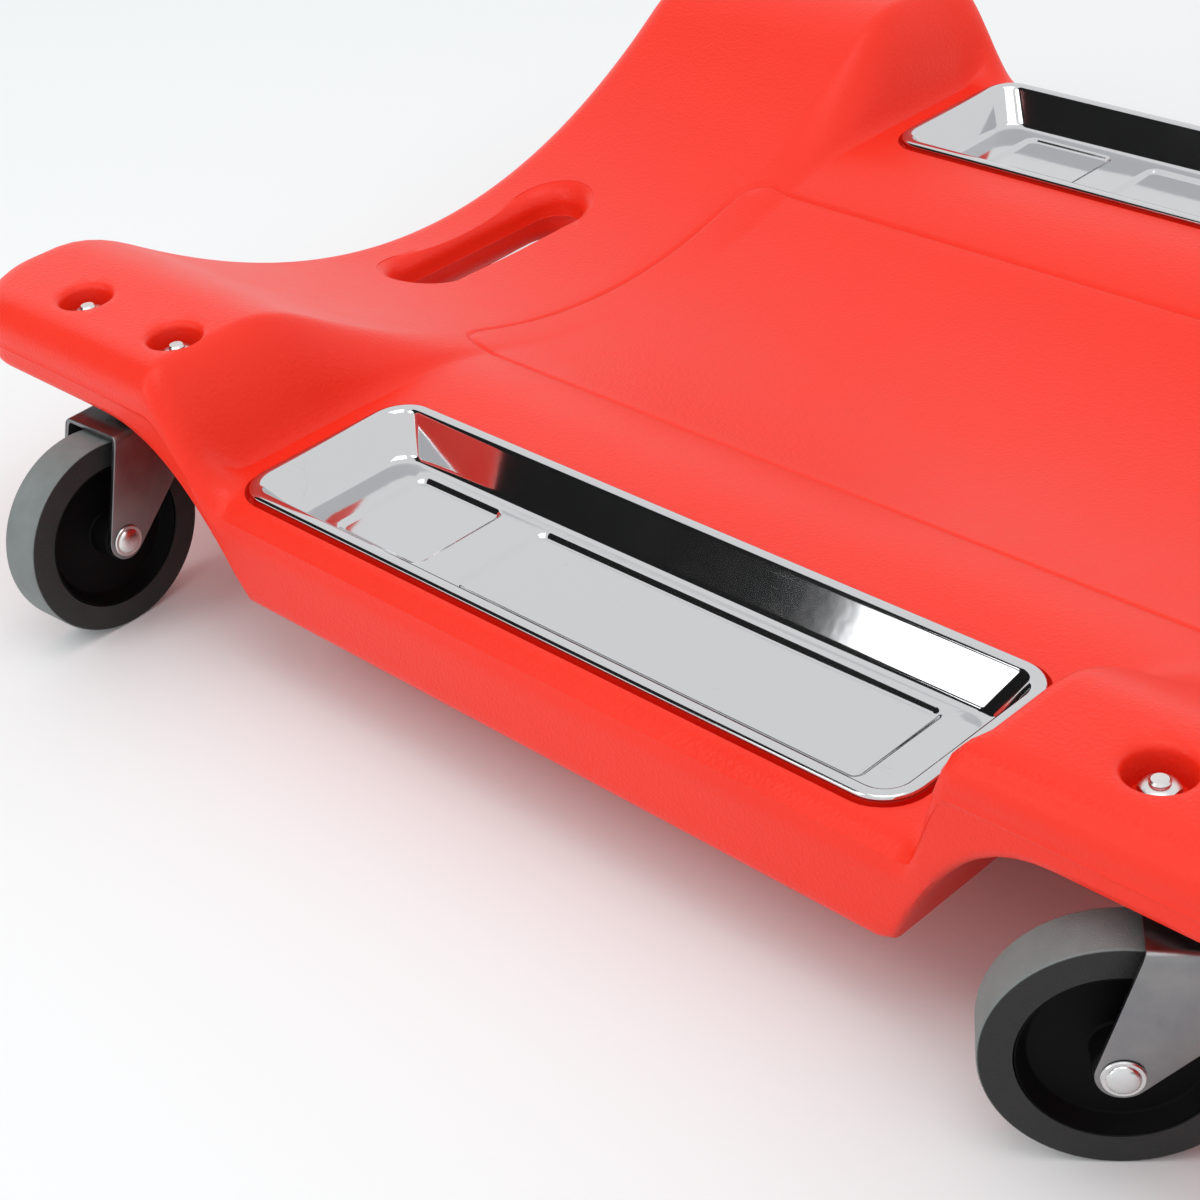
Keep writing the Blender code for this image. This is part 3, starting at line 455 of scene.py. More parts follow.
def seam_place(share):
    """Length of the mould's parting line down the rounded edge, from where the rounding starts."""
    on_rail = EDGE_RADIUS * math.acos(1 - SEAM_DROP_ON_RAIL / EDGE_RADIUS)
    on_boss = EDGE_RADIUS * math.pi / 2 + SEAM_DROP_ON_BOSS - EDGE_RADIUS
    return on_rail + (on_boss - on_rail) * share


def edge_point(x, y, ring):
    """Point of a ring round the deck's edge, out from a point where the rounding starts."""
    over_x = max(abs(x) - half_length + CORNER_RADIUS, 0)
    over_y = max(abs(y) - half_width + CORNER_RADIUS, 0)
    outward = Vector((math.copysign(over_x, x), math.copysign(over_y, y))).normalized()
    start = Vector((x, y))
    rim = start + outward * EDGE_RADIUS
    if ring > RINGS_ABOVE_SEAM + RINGS_BELOW_SEAM + 2:
        inset = UNDER_INSETS[ring - RINGS_ABOVE_SEAM - RINGS_BELOW_SEAM - 3]
        place = rim - outward * inset
        inside = max(UNDER_RADIUS - inset, 0.0)
        lift = UNDER_RADIUS - math.sqrt(UNDER_RADIUS ** 2 - inside ** 2)
        return (*place, bottom_height(*place) + lift)
    quarter = EDGE_RADIUS * math.pi / 2
    wall = top_height(*rim) - EDGE_RADIUS - bottom_height(*rim) - UNDER_RADIUS
    seam = seam_place(boss_rise(rim.x, abs(rim.y)) / BOSS_RISE)
    raised = 0.0
    if ring <= RINGS_ABOVE_SEAM:
        along = (seam - SEAM_HALF_WIDTH) * ring / RINGS_ABOVE_SEAM
    elif ring == RINGS_ABOVE_SEAM + 1:
        along = seam
        raised = SEAM_HEIGHT
    else:
        upper = seam + SEAM_HALF_WIDTH
        along = upper + (quarter + wall - upper) * (ring - RINGS_ABOVE_SEAM - 2) / RINGS_BELOW_SEAM
    turn = min(along, quarter) / EDGE_RADIUS
    place = start + outward * (EDGE_RADIUS + raised) * math.sin(turn)
    fall = (EDGE_RADIUS + raised) * math.cos(turn) - EDGE_RADIUS - max(along - quarter, 0)
    return (*place, top_height(*place) + fall)


def shade(mesh):
    """Shade a mesh smooth except at its hard edges."""
    mesh.shade_smooth()
    mesh.set_sharp_from_angle(angle=SMOOTH_ANGLE)


def close_up(bm):
    """Merge the doubled points of a bmesh and face it outwards."""
    bmesh.ops.remove_doubles(bm, verts=bm.verts[:], dist=WELD)
    bmesh.ops.recalc_face_normals(bm, faces=bm.faces[:])


def smooth_mesh(bm, name):
    """Finish a bmesh as a mesh that is smooth except at its hard edges."""
    close_up(bm)
    mesh = plain_mesh(bm, name)
    shade(mesh)
    return mesh


def turned(profile, steps):
    """A closed turned shape about Z. A profile that starts off the axis is a ring."""
    bm = bmesh.new()
    points = [bm.verts.new((radius, 0, height)) for radius, height in profile]
    edges = [bm.edges.new(pair) for pair in zip(points, points[1:])]
    if profile[0][0] > 0:
        edges.append(bm.edges.new((points[-1], points[0])))
    bmesh.ops.spin(bm, geom=points + edges, axis=(0, 0, 1), cent=(0, 0, 0), angle=2 * math.pi,
                   steps=steps, use_merge=True)
    close_up(bm)
    return bm


def arc(centre_x, centre_y, radius, start, end, steps):
    """Points along an arc, with its angles in degrees."""
    angles = [math.radians(start + (end - start) * index / steps) for index in range(steps + 1)]
    return [(centre_x + radius * math.cos(a), centre_y + radius * math.sin(a)) for a in angles]


def rounded_loop(bm, length, width, radius, height, steps):
    """Edges of a rounded rectangle about the origin."""
    known = set(bm.faces)
    square = bmesh.ops.create_grid(
        bm, x_segments=1, y_segments=1, size=0.5,
        matrix=Matrix.LocRotScale(Vector((0, 0, height)), None, Vector((length, width, 1))))
    bmesh.ops.bevel(bm, geom=square["verts"], offset=radius, offset_type="OFFSET", affect="VERTICES",
                    segments=steps, profile=0.5, material=-1)
    face = (set(bm.faces) - known).pop()
    edges = list(face.edges)
    bmesh.ops.delete(bm, geom=[face], context="FACES_ONLY")
    return edges


def ring_stack(bm, rings, steps):
    """Skin a stack of rounded rectangles, each given as length, width, radius and height."""
    loops = [rounded_loop(bm, *ring, steps) for ring in rings]
    for lower, upper in zip(loops, loops[1:]):
        bmesh.ops.bridge_loops(bm, edges=lower + upper)
    return loops


def closed_stack(rings, steps):
    """A stack of rounded rectangles with flat ends."""
    bm = bmesh.new()
    loops = ring_stack(bm, rings, steps)
    bmesh.ops.contextual_create(bm, geom=loops[0])
    bmesh.ops.contextual_create(bm, geom=loops[-1])
    bmesh.ops.recalc_face_normals(bm, faces=bm.faces[:])
    return bm


def add_copy(target, source, place):
    """Add a copy of one bmesh to another, moved by a matrix."""
    mesh = bpy.data.meshes.new("copy")
    source.to_mesh(mesh)
    mesh.transform(place)
    target.from_mesh(mesh)
    bpy.data.meshes.remove(mesh)


def finished_mesh(obj):
    """The mesh that an object's modifiers make. The object goes."""
    made = bpy.data.meshes.new_from_object(obj.evaluated_get(bpy.context.evaluated_depsgraph_get()))
    bpy.data.objects.remove(obj)
    return made


def carved(mesh, tool_bm, operation):
    """The mesh after an exact Boolean with a tool."""
    tool = add_object("tool", plain_mesh(tool_bm, "tool"))
    work = add_object("work", mesh)
    cut = work.modifiers.new("cut", "BOOLEAN")
    cut.operation = operation
    cut.solver = "EXACT"
    cut.object = tool
    result = finished_mesh(work)
    bpy.data.objects.remove(tool)
    result.name = mesh.name
    return result


def piece(name, mesh, finish, body, slot, *nodes):
    """Stand a finished mesh in for its nodes, on the body that carries it."""
    mesh.materials.clear()
    mesh.materials.append(finish)
    obj = add_object(name, mesh)
    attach(obj, body)
    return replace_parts(obj, *nodes)


end_start = end_caster_x - END_PLATEAU
end_stop = end_start - END_SHOULDER_RUN
wall_start = end_start - END_WALL_BLUR[0]
wall_stop = end_start - END_WALL_RUN + END_WALL_BLUR[0]
mid_stop = MID_PLATEAU + MID_SHOULDER_RUN
shoulders = [
    (-wall_start, -wall_stop, WALL_SPACING),
    (wall_stop, wall_start, WALL_SPACING),
    (-end_start, -end_stop, SHOULDER_SPACING),
    (mid_caster_x - mid_stop, mid_caster_x - MID_PLATEAU, SHOULDER_SPACING),
    (mid_caster_x + MID_PLATEAU, mid_caster_x + mid_stop, SHOULDER_SPACING),
    (end_stop, end_start, SHOULDER_SPACING),
]
lines_x = grid_lines(half_length, beside((GROOVE_FOOT, GROOVE_HEAD)), shoulders)
lines_y = grid_lines(half_width, beside((-PANEL_HALF_WIDTH, PANEL_HALF_WIDTH)), [])
cells_x = len(lines_x) - 1
cells_y = len(lines_y) - 1
deck_bm = bmesh.new()
bmesh.ops.create_grid(deck_bm, x_segments=cells_x, y_segments=cells_y, size=1)
for vert in deck_bm.verts:
    column = round((vert.co.x + 1) / 2 * cells_x)
    row = round((vert.co.y + 1) / 2 * cells_y)
    x, y = round_groove(*round_corner(lines_x[column], lines_y[row]))
    vert.co = (x, y, top_height(x, y) - groove_depth(x, y))
for made in bmesh.ops.extrude_face_region(deck_bm, geom=deck_bm.faces[:])["geom"]:
    if isinstance(made, bmesh.types.BMVert):
        made.co.z = bottom_height(made.co.x, made.co.y)
rim_edges = [edge for edge in deck_bm.edges
             if (edge.verts[0].co.xy - edge.verts[1].co.xy).length < WELD]
ring_count = RINGS_ABOVE_SEAM + 2 + RINGS_BELOW_SEAM + len(UNDER_INSETS)
cut_rings = bmesh.ops.subdivide_edges(deck_bm, edges=rim_edges, cuts=ring_count)
for vert in {made for made in cut_rings["geom_inner"] if isinstance(made, bmesh.types.BMVert)}:
    x, y, z = vert.co
    top = top_height(x, y)
    ring = round((top - z) / (top - bottom_height(x, y)) * (ring_count + 1))
    vert.co = edge_point(x, y, ring)
bmesh.ops.triangulate(deck_bm, faces=deck_bm.faces[:])
deck_mesh = smooth_mesh(deck_bm, "deck_moulding")

cutters = bmesh.new()
lip_turn = math.pi / 2 + LIP_START
lip_x = RECESS_RADIUS + RECESS_LIP
lip_rise = RECESS_LIP * math.sin(LIP_START)
recess_profile = [(0, boss_top + RECESS_LIP), (lip_x + RECESS_LIP, boss_top + RECESS_LIP)]
recess_profile += [(lip_x + RECESS_LIP * math.cos(lip_turn) + RECESS_LIP, boss_top + lip_rise)]
recess_profile += arc(lip_x, boss_top - RECESS_LIP, RECESS_LIP, math.degrees(lip_turn), 180,
                      RECESS_LIP_STEPS)
recess_floor = boss_top - RECESS_DEPTH
bolt_hole = BOLT_RADIUS + FIT_GAP
recess_profile += [(RECESS_RADIUS, recess_floor), (bolt_hole, recess_floor)]
recess_profile += [(bolt_hole, boss_bottom - RECESS_LIP), (0, boss_bottom - RECESS_LIP)]
recess = turned(recess_profile, RECESS_SIDES)
for place in swivels.values():
    for sign in (-1, 1):
        add_copy(cutters, recess, Matrix.Translation((place.x + sign * BOLT_SPACING / 2, place.y, 0)))

tray_places = {}
for name in ("tray_left", "tray_right"):
    tray_low, tray_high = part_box(name)
    tray_places[name] = Vector(((tray_low.x + tray_high.x) / 2, (tray_low.y + tray_high.y) / 2, rail_top))
tray_length = tray_high.x - tray_low.x
tray_width = tray_high.y - tray_low.y


def tray_ring(inset, height, radius=None):
    """The tray's outline drawn in by an inset."""
    corner = TRAY_CORNER - inset if radius is None else radius
    return tray_length - 2 * inset, tray_width - 2 * inset, corner, height


pocket = closed_stack([
    tray_ring(POCKET_FLOOR_INSET, -POCKET_DEPTH),
    tray_ring(POCKET_MOUTH_INSET, 0),
    tray_ring(MOAT_INSET + REBATE_SKIN, REBATE_SKIN),
    tray_ring(MOAT_INSET, -MOAT_DEPTH),
    tray_ring(-TRAY_CLEARANCE, -MOAT_DEPTH - REBATE_SKIN),
    tray_ring(-TRAY_CLEARANCE - MOAT_CHAMFER, REBATE_SKIN),
    tray_ring(-TRAY_CLEARANCE - MOAT_CHAMFER, REBATE_HEIGHT),
], POCKET_CORNER_STEPS)
for place in tray_places.values():
    add_copy(cutters, pocket, Matrix.Translation(place))

slot_x = SLOT_END_INSET - half_length
slot_bm = bmesh.new()
slot_loops = []


def slot_ring(grow, surface, offset):
    """A ring of the handle slot, at an offset from the deck's dished surface."""
    width = SLOT_WIDTH + 2 * grow
    edges = rounded_loop(slot_bm, width, SLOT_LENGTH + 2 * grow, SLOT_ROUNDNESS * width, 0, SLOT_END_STEPS)
    for vert in {vert for edge in edges for vert in edge.verts}:
        vert.co.x += slot_x
        vert.co.z = surface(vert.co.x, vert.co.y) + offset
    slot_loops.append(edges)


def middle_height(x, y):
    """Height of the mould's parting line in the slot's wall."""
    return (top_height(x, y) + bottom_height(x, y)) / 2


lip_range = math.pi / 2 - LIP_START
lip_angles = [LIP_START + lip_range * index / SLOT_LIP_STEPS for index in range(SLOT_LIP_STEPS + 1)]
slot_ring(SLOT_LIP, bottom_height, -SLOT_LIP)
for angle in lip_angles:
    slot_ring(SLOT_LIP * (1 - math.sin(angle)), bottom_height, SLOT_LIP * (1 - math.cos(angle)))
for grow, offset in ((0, -SEAM_HALF_WIDTH), (-SEAM_HEIGHT, 0), (0, SEAM_HALF_WIDTH)):
    slot_ring(grow, middle_height, offset)
for angle in reversed(lip_angles):
    slot_ring(SLOT_LIP * (1 - math.sin(angle)), top_height, -SLOT_LIP * (1 - math.cos(angle)))
slot_ring(SLOT_LIP, top_height, SLOT_LIP)
for lower, upper in zip(slot_loops, slot_loops[1:]):
    bmesh.ops.bridge_loops(slot_bm, edges=lower + upper)
for edges in (slot_loops[0], slot_loops[-1]):
    bmesh.ops.contextual_create(slot_bm, geom=edges)
bmesh.ops.triangulate(slot_bm, faces=slot_bm.faces[:])
bmesh.ops.recalc_face_normals(slot_bm, faces=slot_bm.faces[:])
add_copy(cutters, slot_bm, Matrix.Identity(4))

screw_hole = SCREW_RADIUS + FIT_GAP
screw_well = turned([
    (0, platform_top + UNDER_RADIUS), (screw_hole, platform_top + UNDER_RADIUS),
    (screw_hole, platform_top - SCREW_SEAT), (SCREW_WELL_RADIUS, platform_top - SCREW_SEAT),
    (SCREW_WELL_RADIUS, deck_low.z - UNDER_RADIUS), (0, deck_low.z - UNDER_RADIUS),
], SCREW_SIDES)
for name in ("headrest_screw_left", "headrest_screw_right"):
    screw_low, screw_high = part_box(name)
    add_copy(cutters, screw_well, Matrix.Translation((pad_x, (screw_low.y + screw_high.y) / 2, 0)))
bmesh.ops.recalc_face_normals(cutters, faces=cutters.faces[:])
deck_mesh = carved(deck_mesh, cutters, "DIFFERENCE")
shade(deck_mesh)


def effect(name, output):
    """A shared shader effect with a scale: its tree, its input node and its output node."""
    made = bpy.data.node_groups.new(name, "ShaderNodeTree")
    made.interface.new_socket("Scale", in_out="INPUT", socket_type="NodeSocketFloat")
    made.interface.new_socket(output, in_out="OUTPUT", socket_type="NodeSocketFloat")
    return made, made.nodes.new("NodeGroupInput"), made.nodes.new("NodeGroupOutput")


def apply_effect(tree, group, scale):
    """What a shared effect puts out in a material."""
    return add_node(tree, "Group", {"Scale": scale}, node_tree=group).outputs[0]


def blended(tree, mask, first, second):
    """A colour between two colours, by a mask."""
    inputs = {"Factor": mask, 6: (*first, 1), 7: (*second, 1)}
    return add_node(tree, "Mix", inputs, data_type="RGBA").outputs[2]


def between(tree, mask, first, second):
    """A value between two values, by a mask from 0 to 1."""
    return add_node(tree, "MapRange", {0: mask, 3: first, 4: second}).outputs[0]


def uneven_finish(name, patches, colours, roughness, plain):
    """A material whose colour and roughness drift between two values, and its plain values."""
    made, tree, shader = new_material(name)
    tone = apply_effect(tree, uneven_tone, patches)
    tree.links.new(blended(tree, tone, *colours), shader.inputs["Base Color"])
    tree.links.new(between(tree, tone, *roughness), shader.inputs["Roughness"])
    for socket, value in plain.items():
        shader.inputs[socket].default_value = value
    return made, tree, shader


def dented(tree, shader, relief, scale, depth, strength, over=None):
    """Give a shader's surface the relief of a shared effect, over a coarser one if there is one."""
    inputs = {"Height": apply_effect(tree, relief, scale), "Distance": depth, "Strength": strength}
    if over is not None:
        inputs["Normal"] = over
    bump = add_node(tree, "Bump", inputs)
    tree.links.new(bump.outputs[0], shader.inputs["Normal"])
    return bump.outputs[0]


pebble_grain, group_in, group_out = effect("pebble_grain", "Height")
coords = add_node(pebble_grain, "TexCoord").outputs["Object"]
inputs = {"Vector": coords, "Scale": group_in.outputs[0]}
cells = add_node(pebble_grain, "TexVoronoi", inputs).outputs["Distance"]
pores = add_node(pebble_grain, "TexNoise", {**inputs, "Detail": GRAIN_DETAIL}).outputs[0]
relief = add_node(pebble_grain, "Math", {0: cells, 1: pores}, operation="SUBTRACT")
pebble_grain.links.new(relief.outputs[0], group_out.inputs[0])

uneven_tone, group_in, group_out = effect("uneven_tone", "Mask")
coords = add_node(uneven_tone, "TexCoord").outputs["Object"]
inputs = {"Vector": coords, "Scale": group_in.outputs[0], "Detail": TONE_DETAIL, "Roughness": TONE_BREAKUP}
cloud = add_node(uneven_tone, "TexNoise", inputs)
spread = add_node(uneven_tone, "MapRange", {0: cloud.outputs[0], 1: TONE_LOW, 2: TONE_HIGH})
uneven_tone.links.new(spread.outputs[0], group_out.inputs[0])

red_plastic, tree, shader = uneven_finish("red_polyethylene", **RED)
waves = dented(tree, shader, uneven_tone, **RED_WAVES)
dented(tree, shader, pebble_grain, **RED_GRAIN, over=waves)
piece("deck_moulding", deck_mesh, red_plastic, "deck_body", "red_plastic", "deck")

# Swivel plates: zinc-plated steel pressings under each boss, each with its ball race pressed below.
# A king rivet holds the race and the fork's crown together, with its domed head inside the fork.
PLATE_CORNER = 0.008
PLATE_CORNER_STEPS = 6
PLATE_EDGE = 0.0006
PLATE_THICKNESS = 0.0025
RACE_RADIUS = 0.0135
RACE_ROUNDING = 0.002
RACE_ROUNDING_STEPS = 5
RACE_BORE = 0.0066
RACE_SIDES = 48
PIN_RADIUS = 0.004
PIN_HEAD_RADIUS = 0.008
PIN_HEAD_HEIGHT = 0.003
PIN_SIDES = 32
DOME_STEPS = 5
FORK_SHEET = 0.002
BRIGHT_ZINC = {
    "patches": 60,
    "colours": ((0.62, 0.635, 0.66), (0.78, 0.77, 0.73)),
    "roughness": (0.20, 0.36),
    "plain": {"Metallic": 1},
}
# Painted shade: a darker copy of the bright zinc, standing in for the shade and dark reflections under the
# deck.
SHADED_ZINC = {
    "patches": 45,
    "colours": ((0.21, 0.21, 0.225), (0.30, 0.295, 0.285)),
    "roughness": (0.26, 0.40),
    "plain": {"Metallic": 1},
}

plate_low, plate_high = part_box("plate_head_right")
plate_top = plate_high.z
plate_bottom = plate_top - PLATE_THICKNESS
race_bottom = plate_low.z


def rounded_plate(low, high, corner, edge, steps):
    """A flat plate about the origin with rounded corners and softened edges, as big as a box."""
    length, width, _ = high - low
    inner = (length - 2 * edge, width - 2 * edge, corner - edge)
    outer = (length, width, corner)
    rings = [(*inner, low.z), (*outer, low.z + edge), (*outer, high.z - edge), (*inner, high.z)]
    return closed_stack(rings, steps)


def domed(radius, low, height):
    """Profile of a low dome, from its top on the axis out to its rim."""
    angles = [math.pi / 2 * index / DOME_STEPS for index in range(DOME_STEPS + 1)]
    return [(radius * math.sin(a), low + height * math.cos(a)) for a in angles]


def placed(source, name, place):
    """A smooth mesh from a bmesh, moved to its place."""
    mesh = smooth_mesh(source.copy(), name)
    mesh.transform(place)
    return mesh


sheet_low = Vector((plate_low.x, plate_low.y, plate_bottom))
plate_bm = rounded_plate(sheet_low, plate_high, PLATE_CORNER, PLATE_EDGE, PLATE_CORNER_STEPS)
rounding_x = RACE_RADIUS - RACE_ROUNDING
race_profile = [(RACE_BORE, plate_bottom), (RACE_RADIUS, plate_bottom)]
race_profile += arc(rounding_x, race_bottom + RACE_ROUNDING, RACE_ROUNDING, 0, -90, RACE_ROUNDING_STEPS)
race_profile += [(RACE_BORE, race_bottom)]
add_copy(plate_bm, turned(race_profile, RACE_SIDES), Matrix.Identity(4))
pin_head = race_bottom - FORK_SHEET - 2 * FIT_GAP
king_profile = [(0, plate_top - FIT_GAP), (PIN_RADIUS, plate_top - FIT_GAP), (PIN_RADIUS, pin_head)]
king_profile += domed(PIN_HEAD_RADIUS, pin_head, -PIN_HEAD_HEIGHT)[::-1]
king_bm = turned(king_profile, PIN_SIDES)
zinc = uneven_finish("bright_zinc", **BRIGHT_ZINC)[0]
# The plates and forks take the darker zinc, as painted shade.
shaded_zinc = uneven_finish("shaded_zinc", **SHADED_ZINC)[0]
for name, place in swivels.items():
    axis = Matrix.Translation((place.x, place.y, 0))
    piece("swivel_plate_" + name, placed(plate_bm, "swivel_plate", axis), shaded_zinc,
          "deck_body", "zinc", "plate_" + name)
    piece("king_rivet_" + name, placed(king_bm, "king_rivet", axis), zinc,
          "deck_body", "zinc", "kingpin_" + name)

# Caster bolts: zinc-plated, two to each plate, pushed up through the boss from below.
# A hexagon nut on a washer holds each one at the bottom of its recess, with the thread's end standing proud.
NUT_FACES = 6
NUT_FLATS = 0.010
NUT_HEIGHT = 0.005
NUT_CHAMFER = 0.0009
NUT_CHAMFER_ANGLE = math.radians(30)
NUT_CONE_REACH = 3
NUT_CONE_SIDES = 48
WASHER_RADIUS = 0.007
WASHER_THICKNESS = 0.0012
WASHER_EDGE = 0.0003
WASHER_SIDES = 40
THREAD_DEPTH = 0.0003
THREAD_PITCH = 0.001
THREAD_END = 0.0006
HEAD_RADIUS = 0.0055
HEAD_HEIGHT = 0.003
BOLT_SIDES = 32

washer_low = recess_floor + FIT_GAP
washer_top = washer_low + WASHER_THICKNESS
nut_top = washer_top + NUT_HEIGHT
bolt_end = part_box("bolt_toe_foot_left")[1].z
head_seat = plate_bottom - FIT_GAP
bolt_profile = [(0, bolt_end), (BOLT_RADIUS - THREAD_END, bolt_end), (BOLT_RADIUS, bolt_end - THREAD_END)]
thread_turns = math.floor((bolt_end - THREAD_END - washer_top) / THREAD_PITCH)
for index in range(thread_turns):
    crest = bolt_end - THREAD_END - index * THREAD_PITCH
    bolt_profile += [(BOLT_RADIUS - THREAD_DEPTH, crest - THREAD_PITCH / 2)]
    bolt_profile += [(BOLT_RADIUS, crest - THREAD_PITCH)]
bolt_profile += [(BOLT_RADIUS, head_seat)]
bolt_profile += domed(HEAD_RADIUS, head_seat, -HEAD_HEIGHT)[::-1]
bolt_bm = turned(bolt_profile, BOLT_SIDES)
washer_outer = WASHER_RADIUS - WASHER_EDGE
add_copy(bolt_bm, turned([
    (BOLT_RADIUS, washer_top), (washer_outer, washer_top), (WASHER_RADIUS, washer_top - WASHER_EDGE),
    (WASHER_RADIUS, washer_low + WASHER_EDGE), (washer_outer, washer_low), (BOLT_RADIUS, washer_low),
], WASHER_SIDES), Matrix.Identity(4))
nut_corner = NUT_FLATS / 2 / math.cos(math.pi / NUT_FACES)
nut_bm = bmesh.new()
bmesh.ops.create_cone(nut_bm, cap_ends=True, segments=NUT_FACES, radius1=nut_corner, radius2=nut_corner,
                      depth=NUT_HEIGHT, matrix=Matrix.Translation((0, 0, washer_top + NUT_HEIGHT / 2)))
cone_rise = NUT_CHAMFER * math.tan(NUT_CHAMFER_ANGLE)
cone_rim = nut_corner + NUT_CHAMFER
nut_mesh = carved(plain_mesh(nut_bm, "nut"), turned([
    (0, nut_top + NUT_CHAMFER), (nut_corner - NUT_CONE_REACH * NUT_CHAMFER, nut_top + cone_rise),
    (cone_rim, nut_top - NUT_CONE_REACH * cone_rise), (cone_rim, washer_top - NUT_CHAMFER),
    (0, washer_top - NUT_CHAMFER),
], NUT_CONE_SIDES), "INTERSECT")
bolt_bm.from_mesh(nut_mesh)
for name, place in swivels.items():
    for end, sign in (("toe", -1), ("heel", 1)):
        spot = Matrix.Translation((place.x + sign * BOLT_SPACING / 2, place.y, 0))
        piece("caster_bolt_%s_%s" % (end, name), placed(bolt_bm, "caster_bolt", spot), zinc,
              "deck_body", "zinc", "bolt_%s_%s" % (end, name))

# Forks and axles: each fork is pressed from one zinc-plated steel sheet, bent over the wheel,
# with legs that taper to round tips. The axle is a rivet through the tips, headed over on both sides.
FORK_WIDTH = 0.030
FORK_FRONT = 0.027
FORK_BACK = 0.015
FORK_HEEL = 0.006
FORK_BEND = 0.0028
FORK_BEND_STEPS = 6
FORK_EDGE = 0.0003
FORK_EDGE_STEPS = 2
LEG_TIP_RADIUS = 0.0074
LEG_TIP_STEPS = 18
SIDE_FACING = 0.5
UP_FACING = 0.99
AXLE_RADIUS = 0.003
AXLE_COLLAR_RADIUS = 0.006
AXLE_COLLAR_HEIGHT = 0.0007
AXLE_DOME_RADIUS = 0.0047
AXLE_HEAD_HEIGHT = 0.0024
AXLE_SIDES = 40
ACROSS = Matrix.Rotation(math.pi / 2, 4, "X")

caster_trail = (joint_places["roll_head_right"] - swivels["head_right"]).xy.length
wheel_radius = joint_places["roll_head_right"].z
crown_top = race_bottom - FIT_GAP
crown_bottom = crown_top - FORK_SHEET
heel = (-FORK_BACK, crown_bottom - FORK_HEEL)


def to_tip(x, z, sign):
    """Angle round the leg's tip, in degrees, where a straight edge from a point meets it."""
    along = x - caster_trail
    rise = z - wheel_radius
    meeting = math.acos(LEG_TIP_RADIUS / math.hypot(along, rise))
    return math.degrees(math.atan2(rise, along) + sign * meeting)


leg_outline = [(FORK_FRONT, crown_top)]
leg_outline += arc(caster_trail, wheel_radius, LEG_TIP_RADIUS, 360 + to_tip(FORK_FRONT, crown_top, -1),
                   to_tip(*heel, 1), LEG_TIP_STEPS)
leg_outline += [heel, (-FORK_BACK, crown_top)]
fork_bm = bmesh.new()
leg = fork_bm.faces.new([fork_bm.verts.new((x, -FORK_WIDTH / 2, z)) for x, z in leg_outline])
far_leg = bmesh.ops.extrude_face_region(fork_bm, geom=[leg])["geom"]
far_verts = [made for made in far_leg if isinstance(made, bmesh.types.BMVert)]
bmesh.ops.translate(fork_bm, vec=(0, FORK_WIDTH, 0), verts=far_verts)
bmesh.ops.recalc_face_normals(fork_bm, faces=fork_bm.faces[:])
rims = [face for face in fork_bm.faces if abs(face.normal.y) < SIDE_FACING and face.normal.z < UP_FACING]
bmesh.ops.delete(fork_bm, geom=rims, context="FACES_ONLY")
bends = [edge for edge in fork_bm.edges if len(edge.link_faces) == 2]
bmesh.ops.bevel(fork_bm, geom=bends, offset=FORK_BEND, offset_type="OFFSET", affect="EDGES",
                segments=FORK_BEND_STEPS, profile=0.5, material=-1)
loose = [edge for edge in fork_bm.edges if not edge.link_faces]
bmesh.ops.delete(fork_bm, geom=loose, context="EDGES")


def mirrored(half):
    """A turned profile made whole by its mirror image below."""
    return half + [(radius, -height) for radius, height in reversed(half)]


axle_seat = FORK_WIDTH / 2 + FIT_GAP
collar_top = axle_seat + AXLE_COLLAR_HEIGHT
axle_half = domed(AXLE_DOME_RADIUS, collar_top, AXLE_HEAD_HEIGHT - AXLE_COLLAR_HEIGHT)
axle_half += [(AXLE_COLLAR_RADIUS - FIT_GAP, collar_top), (AXLE_COLLAR_RADIUS, axle_seat + FIT_GAP)]
axle_half += [(AXLE_COLLAR_RADIUS, axle_seat), (AXLE_RADIUS, axle_seat)]
axle_bm = turned(mirrored(axle_half), AXLE_SIDES)


def caster_axes(name):
    """Places of a caster's fork and of its wheel, as it trails at rest."""
    place = swivels[name]
    trail = joint_places["roll_" + name] - place
    turn = Matrix.Rotation(math.atan2(trail.y, trail.x), 4, "Z")
    fork_place = Matrix.Translation((place.x, place.y, 0)) @ turn
    return fork_place, fork_place @ Matrix.Translation((caster_trail, 0, wheel_radius)) @ ACROSS


def thicken(obj, thickness):
    """Give a sheet its thickness, inwards."""
    sheet = obj.modifiers.new("sheet", "SOLIDIFY")
    sheet.thickness = thickness
    sheet.offset = -1


for name in swivels:
    fork_place, wheel_place = caster_axes(name)
    fork_mesh = plain_mesh(fork_bm.copy(), "fork")
    fork_mesh.transform(fork_place)
    shade(fork_mesh)
    # The fork takes the darker zinc, painted shade.
    fork = piece("caster_fork_" + name, fork_mesh, shaded_zinc, "swivel_" + name, "zinc", "fork_" + name)
    thicken(fork, FORK_SHEET)
    rounding = fork.modifiers.new("rounding", "BEVEL")
    rounding.width = FORK_EDGE
    rounding.segments = FORK_EDGE_STEPS
    rounding.limit_method = "ANGLE"
    piece("axle_rivet_" + name, placed(axle_bm, "axle_rivet", wheel_place), zinc,
          "swivel_" + name, "zinc", "axle_" + name)
